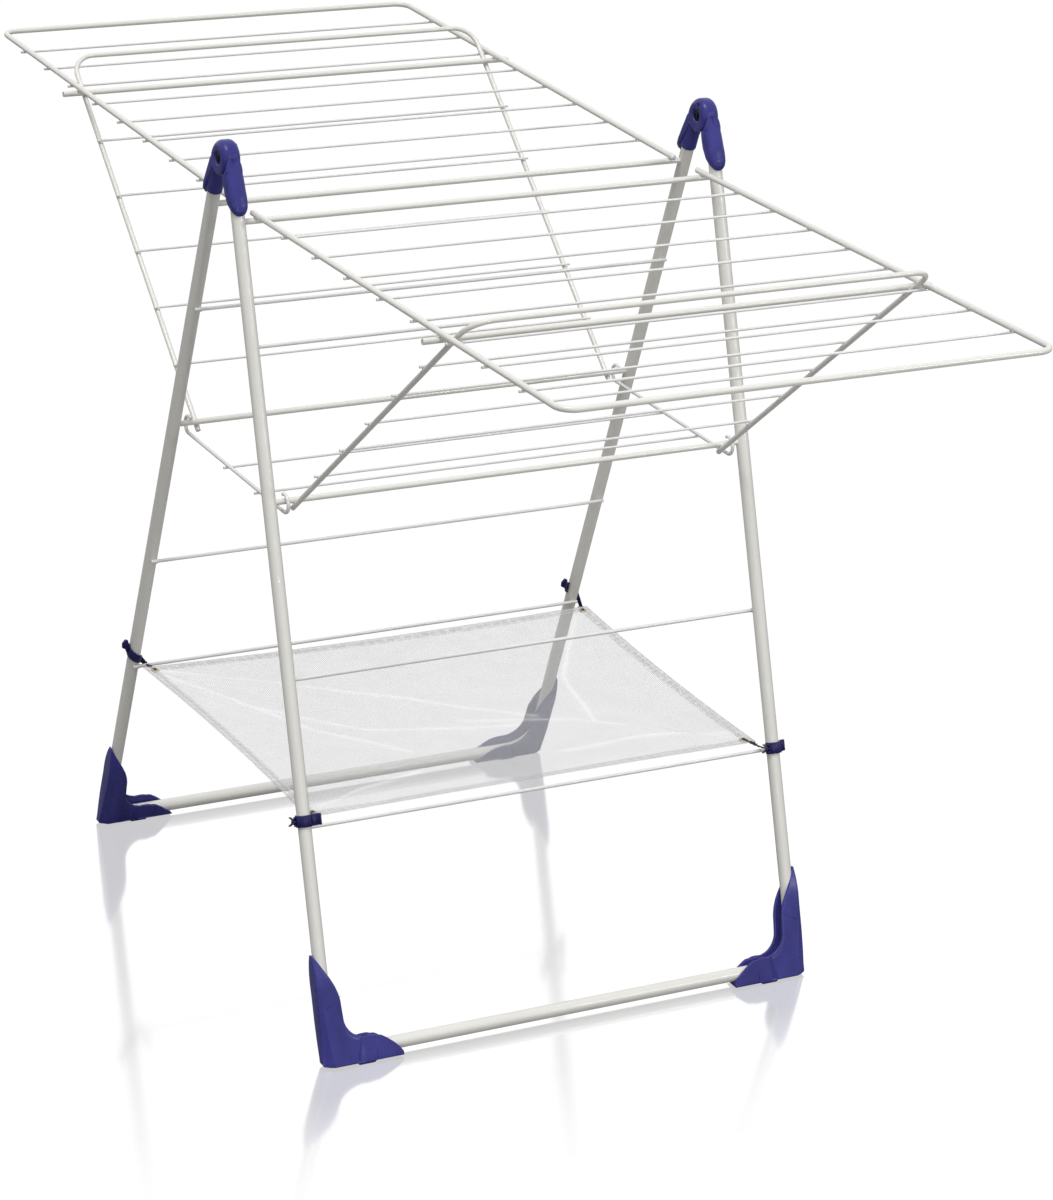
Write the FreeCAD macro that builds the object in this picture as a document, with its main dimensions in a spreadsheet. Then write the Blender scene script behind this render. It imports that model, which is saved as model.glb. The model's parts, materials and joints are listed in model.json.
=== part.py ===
import FreeCAD, Part
import os
from math import cos, pi, radians, sin, tan

import Sketcher

# A winged clothes drying rack: two hinged leg frames, two upper wings, two support wings under them,
# a link rack that ties the leg frames, and a net shelf. The origin is on the floor under the middle
# of the rack. X runs along the hanging wires, -Y is the front and +Z is up. Lengths are in millimetres.

Vector = FreeCAD.Vector
Constraint = Sketcher.Constraint

doc = FreeCAD.newDocument("drying_rack")
sheet = doc.addObject("Spreadsheet::Sheet", "sizes")

SIZES = (
    # leg frames
    ("leg_half_width", 353.0),
    ("leg_lean_deg", 18.9),
    ("leg_reach", 1145.0),
    ("leg_bend", 45.0),
    ("leg_radius", 9.0),
    ("leg_bore", 7.8),
    ("foot_reach_y", 397.0),
    ("tube_height", 14.0),
    ("brace_radius", 2.5),
    ("brace_half_length", 357.0),
    ("brace_high_z", 892.0),
    ("brace_mid_z", 481.0),
    ("brace_low_z", 297.0),
    ("hole_gap", 0.05),
    # head joints
    ("pivot_z", 1120.0),
    ("boss_radius", 23.0),
    ("cap_half_width", 13.0),
    ("tongue_half_width", 5.0),
    ("tongue_radius", 19.0),
    ("pin_radius", 4.0),
    ("pin_head_radius", 8.0),
    ("pin_recess_radius", 9.5),
    ("pin_recess_depth", 2.2),
    ("collar_radius", 12.5),
    ("slot_gap", 0.3),
    ("seat_gap", 0.6),
    ("leaf_gap", 0.4),
    ("pin_inset", 0.6),
    # feet
    ("foot_half_width", 12.5),
    ("foot_slot_gap", 0.05),
    ("sole_z", 2.5),
    ("sole_pad_length", 26.0),
    ("sole_pad_width", 18.0),
    ("sole_pad_overlap", 1.0),
    # upper wings
    ("upper_pivot_z", 1045.0),
    ("upper_tilt_deg", 1.0),
    ("upper_half_width", 329.0),
    ("upper_length", 853.4),
    ("upper_bend", 22.0),
    ("rail_end", 10.0),
    ("upper_rail_radius", 4.0),
    ("pivot_rod_radius", 4.0),
    ("pivot_rod_length", 704.0),
    ("wire_radius", 1.75),
    ("wire_overhang", 6.0),
    ("upper_wires", 8),
    # support wings
    ("lower_pivot_z", 701.5),
    ("lower_tilt_deg", 39.66),
    ("lower_half_width", 318.0),
    ("lower_length", 620.0),
    ("lower_bend", 32.0),
    ("lower_rail_radius", 3.5),
    ("lower_wires", 5),
    ("lower_wire_pitch", 94.0),
    ("support_rod_radius", 4.0),
    ("support_rod_along", 552.0),
    ("support_rod_length", 704.0),
    # link rack
    ("link_half_width", 331.0),
    ("link_rail_radius", 2.5),
    ("hook_radius", 12.0),
    ("hook_drop", 3.0),
    ("hook_turn_deg", 210.0),
    ("link_wire_overhang", 5.0),
    ("link_wire_front_y", -75.0),
    ("link_wire_rear_y", 28.5),
    # net shelf
    ("net_half_width", 340.0),
    ("net_half_depth", 265.0),
    ("net_z", 300.0),
    ("net_sag", 14.0),
    ("net_thickness", 1.0),
    ("clip_radius", 12.0),
    ("clip_height", 17.0),
    ("clip_tab_reach", 15.0),
    ("clip_tab_thickness", 5.0),
    ("clip_above_brace", 14.0),
    ("eyelet_radius", 5.0),
    ("eyelet_wire_radius", 1.2),
    ("tie_radius", 1.0),
    ("tie_length", 26.0),
)

for line, (alias, value) in enumerate(SIZES, 1):
    sheet.set(f"A{line}", alias)
    sheet.set(f"B{line}", str(value))
    sheet.setAlias(f"B{line}", alias)
doc.recompute()


def size(alias):
    """A driving dimension, read from the sheet."""
    return float(sheet.get(alias))


LEAN = radians(size("leg_lean_deg"))
SIDES = {"rear": 1, "front": -1}
HANDS = {"left": -1, "right": 1}
ALONG_X = FreeCAD.Rotation(Vector(0, 1, 0), 90)
LEVEL = FreeCAD.Rotation()


def leg_y(height):
    """Distance of a leg's centre line from the middle plane at a height."""
    return size("foot_reach_y") - (height - size("tube_height")) * tan(LEAN)


def down_leg(height):
    """Distance down a leg from the tube's upper end to the point at a height."""
    return size("leg_reach") - (height - size("tube_height")) / cos(LEAN)


def tilted(side, y, z, pitch):
    """A placement at (0, y, z) whose own Y points outward from the middle plane, pitched up."""
    outward = Vector(0, side * cos(pitch), sin(pitch))
    normal = Vector(0, -side * sin(pitch), cos(pitch))
    across = outward.cross(normal)
    return FreeCAD.Placement(Vector(0, y, z), FreeCAD.Rotation(across, outward, normal, "ZYX"))


def leg_placement(side):
    """Own Y runs down the legs from the tube's upper ends; own Z is square to the leg frame."""
    reach = size("leg_reach")
    top_y = size("foot_reach_y") - reach * sin(LEAN)
    top_z = size("tube_height") + reach * cos(LEAN)
    return tilted(side, side * top_y, top_z, LEAN - pi / 2)


def upper_placement(side):
    height = size("upper_pivot_z")
    return tilted(side, side * leg_y(height), height, radians(size("upper_tilt_deg")))


def lower_placement(side):
    height = size("lower_pivot_z")
    return tilted(side, side * leg_y(height), height, radians(size("lower_tilt_deg")))


def bind(thing, prop, expression):
    thing.setExpression(prop, expression)


def sheet_name(alias):
    return f"sizes.{alias}"


def sketch_on(body, role, name):
    """An empty sketch on one of the body's own origin planes."""
    sketch = body.newObject("Sketcher::SketchObject", name)
    plane = next(item for item in body.Origin.OriginFeatures if item.Role == role)
    sketch.AttachmentSupport = (plane, [""])
    sketch.MapMode = "FlatFace"
    return sketch


def dimension(sketch, name, constraint, expression):
    """Adds a named dimension to a sketch and binds it to the sheet."""
    index = sketch.addConstraint(constraint)
    sketch.renameConstraint(index, name)
    bind(sketch, f"Constraints.{name}", expression)


def circle(sketch, name, x, y, radius, place_x, place_y, expression):
    """A circle whose centre is dimensioned from the sketch origin; a place of None sits on that axis."""
    index = sketch.addGeometry(Part.Circle(Vector(x, y, 0), Vector(0, 0, 1), radius))
    dimension(sketch, f"{name}_radius", Constraint("Radius", index, radius), expression)
    for kind, value, place, axis in (("DistanceX", x, place_x, -2), ("DistanceY", y, place_y, -1)):
        if place is None:
            sketch.addConstraint(Constraint("PointOnObject", index, 3, axis))
        elif value < 0:
            dimension(sketch, f"{name}_{kind}", Constraint(kind, index, 3, -1, 1, -value), place)
        else:
            dimension(sketch, f"{name}_{kind}", Constraint(kind, -1, 1, index, 3, value), place)
    return index


def outline(sketch, pieces):
    """A closed profile of line and arc pieces, joined end to end and held where they are drawn."""
    count = len(pieces)
    for piece in pieces:
        sketch.addGeometry(piece)
    for index in range(count):
        sketch.addConstraint(Constraint("Block", index))


def polyline(points):
    """Straight pieces round a closed list of (x, y) points."""
    corners = [Vector(x, y, 0) for x, y in points]
    return [Part.LineSegment(a, b) for a, b in zip(corners, corners[1:] + corners[:1])]


def flat_solid(label, pieces, thickness):
    """A body padded evenly to both sides from a closed profile in its own XY plane."""
    body = doc.addObject("PartDesign::Body", label)
    profile = sketch_on(body, "XY_Plane", f"{label}_profile")
    outline(profile, pieces)
    pad = body.newObject("PartDesign::Pad", f"{label}_pad")
    pad.Profile = profile
    pad.SideType = "Symmetric"
    bind(pad, "Length", thickness)
    return body


def cylinder(label, radius, length):
    """A cylinder about own Z, standing on the origin."""
    solid = doc.addObject("Part::Cylinder", label)
    bind(solid, "Radius", radius)
    bind(solid, "Height", length)
    doc.recompute()
    return solid


def disc(label, radius, thickness, middle=0.0):
    """A cylinder about own Z, centred at a height on that axis."""
    solid = cylinder(label, radius, thickness)
    solid.Placement.Base = Vector(0, 0, middle - solid.Height.Value / 2)
    return solid


def block(label, length, width, height):
    """A box from the origin."""
    solid = doc.addObject("Part::Box", label)
    bind(solid, "Length", length)
    bind(solid, "Width", width)
    bind(solid, "Height", height)
    return solid


def fuse(label, shapes):
    whole = doc.addObject("Part::MultiFuse", label)
    whole.Shapes = shapes
    return whole


def cut(label, base, tool):
    whole = doc.addObject("Part::Cut", label)
    whole.Base = base
    whole.Tool = tool
    return whole


def gather(label, pieces):
    """Separate solids kept as a single node."""
    node = doc.addObject("Part::Compound", label)
    node.Links = pieces
    return node


def bent_frame(label, half_width, reach, bend, radius, bore=None):
    """A U-shaped tube or wire: two rails along own Y joined by a bar across, with rounded corners."""
    body = doc.addObject("PartDesign::Body", label)
    width, length, turn = size(half_width), size(reach), size(bend)
    path = sketch_on(body, "XY_Plane", f"{label}_path")
    path.addGeometry(Part.LineSegment(Vector(-width, 0, 0), Vector(-width, length - turn, 0)))
    left = Part.Circle(Vector(turn - width, length - turn, 0), Vector(0, 0, 1), turn)
    path.addGeometry(Part.ArcOfCircle(left, pi / 2, pi))
    path.addGeometry(Part.LineSegment(Vector(turn - width, length, 0), Vector(width - turn, length, 0)))
    right = Part.Circle(Vector(width - turn, length - turn, 0), Vector(0, 0, 1), turn)
    path.addGeometry(Part.ArcOfCircle(right, 0, pi / 2))
    path.addGeometry(Part.LineSegment(Vector(width, length - turn, 0), Vector(width, 0, 0)))
    path.addConstraint(
        [
            Constraint("Tangent", 0, 2, 1, 2),
            Constraint("Tangent", 1, 1, 2, 1),
            Constraint("Tangent", 2, 2, 3, 2),
            Constraint("Tangent", 3, 1, 4, 1),
            Constraint("Vertical", 0),
            Constraint("Horizontal", 2),
            Constraint("Vertical", 4),
            Constraint("Equal", 1, 3),
            Constraint("PointOnObject", 0, 1, -1),
            Constraint("PointOnObject", 4, 2, -1),
        ]
    )
    dimension(path, "bend", Constraint("Radius", 1, turn), sheet_name(bend))
    dimension(path, "left", Constraint("DistanceX", 0, 1, -1, 1, width), sheet_name(half_width))
    dimension(path, "right", Constraint("DistanceX", -1, 1, 4, 2, width), sheet_name(half_width))
    dimension(path, "reach", Constraint("DistanceY", -1, 1, 2, 1, length), sheet_name(reach))
    section = sketch_on(body, "XZ_Plane", f"{label}_section")
    for name, alias in (("outer", radius), ("inner", bore)):
        if alias:
            names = (sheet_name(half_width), None, sheet_name(alias))
            circle(section, name, -width, 0, size(alias), *names)
    pipe = body.newObject("PartDesign::AdditivePipe", f"{label}_pipe")
    pipe.Profile = section
    pipe.Spine = (path, [f"Edge{number}" for number in range(1, 6)])
    return body


def rod(label, radius, length, placement, y, z):
    """A straight rod along own X, centred on the middle plane."""
    solid = cylinder(label, radius, length)
    start = Vector(-solid.Height.Value / 2, y, z)
    solid.Placement = placement.multiply(FreeCAD.Placement(start, ALONG_X))
    return solid


def leg_tube(name, side):
    """The bent leg tube, with holes in the inner walls for the two pivot rods."""
    outline_sizes = ("leg_half_width", "leg_reach", "leg_bend", "leg_radius", "leg_bore")
    body = bent_frame(f"{name}_leg_tube", *outline_sizes)
    doc.recompute()
    plain = body.Shape.Volume
    holes = sketch_on(body, "YZ_Plane", f"{name}_leg_holes")
    hole_radius = size("pivot_rod_radius") + size("hole_gap")
    for place in ("upper", "lower"):
        along = down_leg(size(f"{place}_pivot_z"))
        rise = f"(sizes.{place}_pivot_z - sizes.tube_height)"
        distance = f"sizes.leg_reach - {rise} / cos(sizes.leg_lean_deg * 1 deg)"
        names = (distance, None, "sizes.pivot_rod_radius + sizes.hole_gap")
        circle(holes, place, along, 0, hole_radius, *names)
    pocket = body.newObject("PartDesign::Pocket", f"{name}_leg_bores")
    pocket.Profile = holes
    pocket.SideType = "Symmetric"
    bind(pocket, "Length", "2 * sizes.leg_half_width")
    doc.recompute()
    assert body.Shape.Volume < plain - 100
    body.Placement = leg_placement(side)
    return body


def braces(name, side):
    """Three thin rods welded across the inner faces of a pair of legs."""
    inward = -(size("leg_radius") + size("brace_radius"))
    length = "2 * sizes.brace_half_length"
    made = []
    for level in ("high", "mid", "low"):
        along = down_leg(size(f"brace_{level}_z"))
        label = f"{name}_brace_{level}"
        made.append(rod(label, "sizes.brace_radius", length, leg_placement(side), along, inward))
    return made


def foot_outline(hand):
    """The cheek outline on the leg frame's plane: a curved inner edge, a toe, a flat sole and a heel."""
    width, reach = hand * size("leg_half_width"), size("leg_reach")

    def point(inward, up):
        return Vector(width - hand * inward, reach - up, 0)

    inner_edge = (
        (-11, 134),
        (3, 111),
        (13, 95),
        (19, 78),
        (21, 60),
        (24, 37),
        (32, 23),
        (45, 17.5),
        (62, 17),
        (76, 12),
        (86, 4),
        (101, -8),
    )
    curve = Part.BSplineCurve()
    curve.interpolate([point(*place) for place in inner_edge])
    below = -26
    corners = [point(*inner_edge[-1]), point(101, below), point(-17, below), point(-17.5, 32)]
    corners += [point(-15, 60), point(-15.5, 102), point(*inner_edge[0])]
    return [curve] + [Part.LineSegment(a, b) for a, b in zip(corners, corners[1:])]


def foot(name, side, hand_name, hand, tube_room):
    """A corner shoe: two cheeks closed round the outside of the bend, flat on the floor."""
    label = f"{name}_foot_{hand_name}"
    placement = leg_placement(side)
    # the front leg frame's own X runs the other way
    own = hand * side
    cheeks = flat_solid(f"{label}_cheeks", foot_outline(own), "2 * sizes.foot_half_width")
    cheeks.Placement = placement
    x, y = hand * size("leg_half_width"), side * size("foot_reach_y")
    ground = block(f"{label}_ground", "400 mm", "400 mm", "100 mm")
    ground.Placement.Base = Vector(x - 200, y - 200, size("sole_z") - 100)
    shoe = cut(f"{label}_shoe", cheeks, ground)
    # between the cheeks the shoe is open toward the inside of the frame
    width, reach, bend = size("leg_half_width"), size("leg_reach"), size("leg_bend")
    far = width - 160
    high = reach - 200
    turn = Part.Circle(Vector(own * (width - bend), reach - bend, 0), Vector(0, 0, 1), bend)
    mouth = flat_solid(
        f"{label}_mouth",
        [
            Part.LineSegment(Vector(own * width, high, 0), Vector(own * width, reach - bend, 0)),
            Part.ArcOfCircle(turn, 0, pi / 2) if own > 0 else Part.ArcOfCircle(turn, pi / 2, pi),
            Part.LineSegment(Vector(own * (width - bend), reach, 0), Vector(own * far, reach, 0)),
            Part.LineSegment(Vector(own * far, reach, 0), Vector(own * far, high, 0)),
            Part.LineSegment(Vector(own * far, high, 0), Vector(own * width, high, 0)),
        ],
        "2 * (sizes.leg_radius + sizes.foot_slot_gap)",
    )
    mouth.Placement = placement
    shell = cut(f"{label}_shell", shoe, fuse(f"{label}_hollow", [tube_room, mouth]))
    pad_height = "sizes.sole_z + sizes.sole_pad_overlap"
    pad = block(f"{label}_pad", "sizes.sole_pad_length", "sizes.sole_pad_width", pad_height)
    pad_size = Vector(size("sole_pad_length"), size("sole_pad_width"), 0)
    pad.Placement.Base = Vector(x - hand * 48, y, 0) - pad_size / 2
    return fuse(label, [shell, pad])


def polar(radius, degrees):
    """A point about the head pivot; 0 is straight down and positive turns toward the piece's own leg."""
    angle = radians(degrees)
    return radius * sin(angle), -radius * cos(angle)


def cap_frame(side, hand):
    """The side view on a head pivot: own Y is up and own X points toward the cap's own leg."""
    across = Vector(side, 0, 0)
    toward = Vector(0, side, 0)
    upward = Vector(0, 0, 1)
    return FreeCAD.Placement(
        Vector(hand * size("leg_half_width"), 0, size("pivot_z")),
        FreeCAD.Rotation(toward, upward, across, "ZYX"),
    )


def leg_axis_in_cap():
    """The point on the leg's centre line level with the pivot, in the cap's own side view."""
    return leg_y(size("pivot_z")), 0


def down_the_leg(start, along):
    """A placement on the leg's centre line in the side view, with own Z running down the leg."""
    place = along_leg(start, 0, along)
    return FreeCAD.Placement(
        Vector(*place, 0),
        FreeCAD.Rotation(Vector(0, 0, 1), Vector(sin(LEAN), -cos(LEAN), 0)),
    )


def along_leg(start, across, along):
    """A point in the side view, offset from a start point square to the leg and down along it."""
    toward = start[0] + across * cos(LEAN) + along * sin(LEAN)
    upward = start[1] + across * sin(LEAN) - along * cos(LEAN)
    return toward, upward


def rear_cap(hand_name, hand, tube_room):
    """Clevis cap: a round boss with two cheeks, a collar on the rear leg, a web and a small hook."""
    label = f"rear_cap_{hand_name}"
    start = leg_axis_in_cap()
    width = "2 * sizes.cap_half_width"
    web_corners = [along_leg(start, 8, 4), along_leg(start, 8, 54), along_leg(start, -17, 47)]
    web_corners += [along_leg(start, -17, 20), (-4, -12), (0, 10)]
    web = flat_solid(f"{label}_web", polyline(web_corners), width)
    collar = cylinder(f"{label}_collar", "sizes.collar_radius", "50 mm")
    collar.Placement = down_the_leg(start, 7)
    boss = disc(f"{label}_boss", "sizes.boss_radius", width)
    hook = disc(f"{label}_hook", "3.2 mm", "8 mm")
    hook.Placement.Base += Vector(*along_leg(start, 14, 56), 0)
    solid = fuse(f"{label}_solid", [web, collar, boss, hook])
    # the slot for the tongue is open from the rear leg's side, past the bottom, round to the front
    slot = "2 * (sizes.tongue_half_width + sizes.slot_gap)"
    mouth_corners = [(0, 0), polar(60, 29), (0, -70), (-60, -60), (-60, -22), polar(21, -75)]
    mouth = flat_solid(f"{label}_mouth", polyline(mouth_corners), slot)
    seat = disc(f"{label}_seat", "sizes.tongue_radius + sizes.seat_gap", slot)
    bore = disc(f"{label}_bore", "sizes.pin_radius", "4 * sizes.cap_half_width")
    tools = [mouth, seat, bore]
    for face in (-1, 1):
        middle = face * size("cap_half_width")
        recess = f"{label}_recess_{face + 1}"
        tools.append(disc(recess, "sizes.pin_recess_radius", "2 * sizes.pin_recess_depth", middle))
    notch = block(f"{label}_notch", "6 mm", "5 mm", "3 mm")
    notch.Placement.Base = Vector(-6, 15, -hand * size("cap_half_width") - 1.5)
    tools.append(notch)
    shaped = cut(f"{label}_shaped", solid, fuse(f"{label}_room", tools))
    shaped.Placement = cap_frame(1, hand)
    return cut(label, shaped, tube_room)


def front_cap(hand_name, hand, tube_room):
    """Tongue cap: a round tongue in the clevis and a leaf-shaped shield down the front leg."""
    label = f"front_cap_{hand_name}"
    start = leg_axis_in_cap()
    leaf_edge = ((-15, 27), (-14, 40), (-8, 55), (1, 66), (8, 71), (13, 70), (14.5, 62))
    points = [Vector(*along_leg(start, *place), 0) for place in leaf_edge]
    curve = Part.BSplineCurve()
    curve.interpolate(points)
    top_edge = [Vector(*along_leg(start, *place), 0) for place in ((13.5, 30), (12, -2))]
    corners = [points[-1]] + top_edge + [points[0]]
    edges = [curve] + [Part.LineSegment(a, b) for a, b in zip(corners, corners[1:])]
    leaf = flat_solid(f"{label}_leaf", edges, "2 * sizes.cap_half_width")
    clear = disc(f"{label}_clear", "sizes.boss_radius + sizes.leaf_gap", "4 * sizes.cap_half_width")
    shield = cut(f"{label}_shield", leaf, clear)
    thickness = "2 * sizes.tongue_half_width"
    tongue = disc(f"{label}_tongue", "sizes.tongue_radius", thickness)
    neck_corners = [(0, 0), polar(14, -6), along_leg(start, -13, 30), along_leg(start, 4, 24)]
    neck_corners.append(polar(14, 70))
    neck = flat_solid(f"{label}_neck", polyline(neck_corners), thickness)
    solid = fuse(f"{label}_solid", [shield, tongue, neck])
    bore = disc(f"{label}_bore", "sizes.pin_radius + sizes.hole_gap", "4 * sizes.cap_half_width")
    shaped = cut(f"{label}_shaped", solid, bore)
    shaped.Placement = cap_frame(-1, hand)
    return cut(label, shaped, tube_room)


def head_pin(hand_name, hand):
    """The rivet through both caps, with a flat head in each recess."""
    label = f"head_pin_{hand_name}"
    shank = disc(f"{label}_shank", "sizes.pin_radius", "2 * (sizes.cap_half_width - sizes.pin_inset)")
    heads = []
    for face in (-1, 1):
        middle = face * (size("cap_half_width") - size("pin_recess_depth") + 0.8)
        heads.append(disc(f"{label}_head_{face + 1}", "sizes.pin_head_radius", "1.6 mm", middle))
    pin = fuse(label, [shank] + heads)
    pin.Placement = cap_frame(1, hand)
    return pin


def wing(name, side, kind):
    """The bent frame and pivot rod of a wing, then its hanging wires on one face of the rails."""
    placement = upper_placement(side) if kind == "upper" else lower_placement(side)
    # the upper wings carry their wires under the rails, the support wings over them
    face = 1 if kind == "upper" else -1
    rails_z = face * (size(f"{kind}_rail_radius") + size("pivot_rod_radius"))
    wires_z = rails_z - face * (size(f"{kind}_rail_radius") + size("wire_radius"))
    frame = bent_frame(
        f"{name}_{kind}_frame",
        f"{kind}_half_width",
        f"{kind}_frame_reach",
        f"{kind}_bend",
        f"{kind}_rail_radius",
    )
    frame.Placement = placement.multiply(FreeCAD.Placement(Vector(0, -size("rail_end"), rails_z), LEVEL))
    pivot = rod(
        f"{name}_{kind}_pivot_rod", "sizes.pivot_rod_radius", "sizes.pivot_rod_length", placement, 0, 0
    )
    length = f"2 * (sizes.{kind}_half_width + sizes.wire_overhang)"
    wires = []
    for number in range(1, int(size(f"{kind}_wires")) + 1):
        along = number * size(f"{kind}_wire_pitch")
        wires.append(
            rod(f"{name}_{kind}_wire_{number}", "sizes.wire_radius", length, placement, along, wires_z)
        )
    return [frame, pivot], wires


def link_rail(hand_name, hand):
    """A side rail of the link rack, curled from below round both lower pivot rods."""
    label = f"link_rail_{hand_name}"
    span = leg_y(size("lower_pivot_z"))
    x = hand * size("link_half_width")
    middle_z = size("lower_pivot_z") - size("hook_drop")
    straight = cylinder(f"{label}_straight", "sizes.link_rail_radius", str(2 * span))
    start = Vector(x, -span, middle_z - size("hook_radius"))
    straight.Placement = FreeCAD.Placement(start, FreeCAD.Rotation(Vector(0, 0, 1), Vector(0, 1, 0)))
    pieces = [straight]
    for name, side in SIDES.items():
        curl = doc.addObject("Part::Torus", f"{label}_{name}_curl")
        bind(curl, "Radius1", "sizes.hook_radius")
        bind(curl, "Radius2", "sizes.link_rail_radius")
        bind(curl, "Angle3", "sizes.hook_turn_deg")
        # the curl starts at the bottom, where the rail meets it, and turns outward and up
        turn = FreeCAD.Rotation(Vector(0, 0, -1), Vector(0, side, 0), Vector(side, 0, 0), "ZYX")
        curl.Placement = FreeCAD.Placement(Vector(x, side * span, middle_z), turn)
        pieces.append(curl)
    return fuse(label, pieces)


def link_wire(name):
    """A cross wire under the link rack's rails."""
    below = size("hook_drop") + size("hook_radius") + size("link_rail_radius") + size("wire_radius")
    length = "2 * (sizes.link_half_width + sizes.link_wire_overhang)"
    placement = FreeCAD.Placement(Vector(0, 0, size("lower_pivot_z")), LEVEL)
    y = size(f"link_wire_{name}_y")
    return rod(f"link_wire_{name}", "sizes.wire_radius", length, placement, y, -below)


def clip(name, side, hand_name, hand, tube_room):
    """A sleeve snapped on the leg tube, with a tab toward the net's corner."""
    label = f"{name}_clip_{hand_name}"
    sleeve = disc(f"{label}_sleeve", "sizes.clip_radius", "sizes.clip_height")
    reach = size("clip_radius") + size("clip_tab_reach")
    length = "sizes.clip_radius + sizes.clip_tab_reach"
    tab = block(f"{label}_tab", length, "sizes.clip_tab_thickness", "sizes.clip_height")
    inner = 0 if hand < 0 else -reach
    tab.Placement.Base = Vector(inner, -size("clip_tab_thickness") / 2, -size("clip_height") / 2)
    solid = fuse(f"{label}_solid", [sleeve, tab])
    height = size("brace_low_z") + size("clip_above_brace")
    turn = FreeCAD.Rotation(Vector(0, 0, 1), Vector(0, -side * sin(LEAN), cos(LEAN)))
    middle = Vector(hand * size("leg_half_width"), side * leg_y(height), height)
    solid.Placement = FreeCAD.Placement(middle, turn)
    return cut(label, solid, tube_room)


def net_tie(name, side, hand_name, hand):
    """A cord from a clip's tab to an eyelet at the net's corner."""
    label = f"{name}_net_tie_{hand_name}"
    x = hand * (size("leg_half_width") - size("clip_radius") - size("clip_tab_reach"))
    y = size("net_half_depth") - 2 * size("eyelet_radius")
    z = size("net_z") + size("eyelet_wire_radius")
    eyelet = doc.addObject("Part::Torus", f"{label}_eyelet")
    bind(eyelet, "Radius1", "sizes.eyelet_radius")
    bind(eyelet, "Radius2", "sizes.eyelet_wire_radius")
    eyelet.Placement.Base = Vector(x, side * y, z)
    cord = cylinder(f"{label}_cord", "sizes.tie_radius", "sizes.tie_length")
    start = Vector(x, side * (y + size("eyelet_radius") + size("eyelet_wire_radius")), z)
    turn = FreeCAD.Rotation(Vector(0, 0, 1), Vector(0, side, 0.3))
    cord.Placement = FreeCAD.Placement(start, turn)
    return gather(label, [eyelet, cord])


def net():
    """The stretched net as a thin sagging slab, a closed solid of its true outer size."""
    body = doc.addObject("PartDesign::Body", "net")
    depth, sag, thick = size("net_half_depth"), size("net_sag"), size("net_thickness")
    profile = sketch_on(body, "YZ_Plane", "net_profile")
    top = Part.Arc(Vector(-depth, 0, 0), Vector(0, -sag, 0), Vector(depth, 0, 0))
    bottom = Part.Arc(Vector(-depth, -thick, 0), Vector(0, -sag - thick, 0), Vector(depth, -thick, 0))
    outline(
        profile,
        [
            top,
            Part.LineSegment(Vector(depth, 0, 0), Vector(depth, -thick, 0)),
            bottom,
            Part.LineSegment(Vector(-depth, -thick, 0), Vector(-depth, 0, 0)),
        ],
    )
    pad = body.newObject("PartDesign::Pad", "net_pad")
    pad.Profile = profile
    pad.SideType = "Symmetric"
    bind(pad, "Length", "2 * sizes.net_half_width")
    bind(body, ".Placement.Base.z", "sizes.net_z")
    return body


# a wing frame's reach runs from its rails' inner ends, and the upper wires are spread evenly
DERIVED = (
    ("upper_frame_reach", "=upper_length + rail_end"),
    ("lower_frame_reach", "=lower_length + rail_end"),
    ("upper_wire_pitch", "=upper_length / (upper_wires + 1)"),
)
for line, (alias, formula) in enumerate(DERIVED, len(SIZES) + 1):
    sheet.set(f"A{line}", alias)
    sheet.set(f"B{line}", formula)
    sheet.setAlias(f"B{line}", alias)
doc.recompute()

nodes = []
for name, side in SIDES.items():
    tube = leg_tube(name, side)
    tube_room = bent_frame(f"{name}_tube_room", "leg_half_width", "leg_reach", "leg_bend", "leg_radius")
    tube_room.Placement = leg_placement(side)
    nodes.append(tube)
    nodes += braces(name, side)
    cap = rear_cap if name == "rear" else front_cap
    for hand_name, hand in HANDS.items():
        nodes.append(foot(name, side, hand_name, hand, tube_room))
        nodes.append(cap(hand_name, hand, tube_room))
        nodes.append(clip(name, side, hand_name, hand, tube_room))
        nodes.append(net_tie(name, side, hand_name, hand))
    frame, wires = wing(name, side, "upper")
    nodes += frame + wires
    frame, wires = wing(name, side, "lower")
    nodes += frame
    nodes.append(gather(f"{name}_lower_wires", wires))
    nodes.append(
        rod(
            f"{name}_support_rod",
            "sizes.support_rod_radius",
            "sizes.support_rod_length",
            lower_placement(side),
            size("support_rod_along"),
            0,
        )
    )
for hand_name, hand in HANDS.items():
    nodes.append(head_pin(hand_name, hand))
    nodes.append(link_rail(hand_name, hand))
for name in SIDES:
    nodes.append(link_wire(name))
nodes.append(net())
doc.recompute()

for item in doc.Objects:
    failed = {"Invalid", "Error"} & set(item.State)
    assert not failed, f"{item.Label}: {failed}"
for node in nodes:
    shape = node.Shape
    assert not shape.isNull() and shape.isValid() and shape.Volume > 0, node.Label

os.makedirs("parts", exist_ok=True)
for node in nodes:
    node.Shape.exportStep(f"parts/{node.Label}.step")
print(f"{len(nodes)} nodes written")
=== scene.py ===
import json
from math import atan2, copysign, cos, hypot, pi, radians, sin, sqrt

import bmesh
import bpy
from mathutils import Euler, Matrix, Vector, noise


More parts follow.
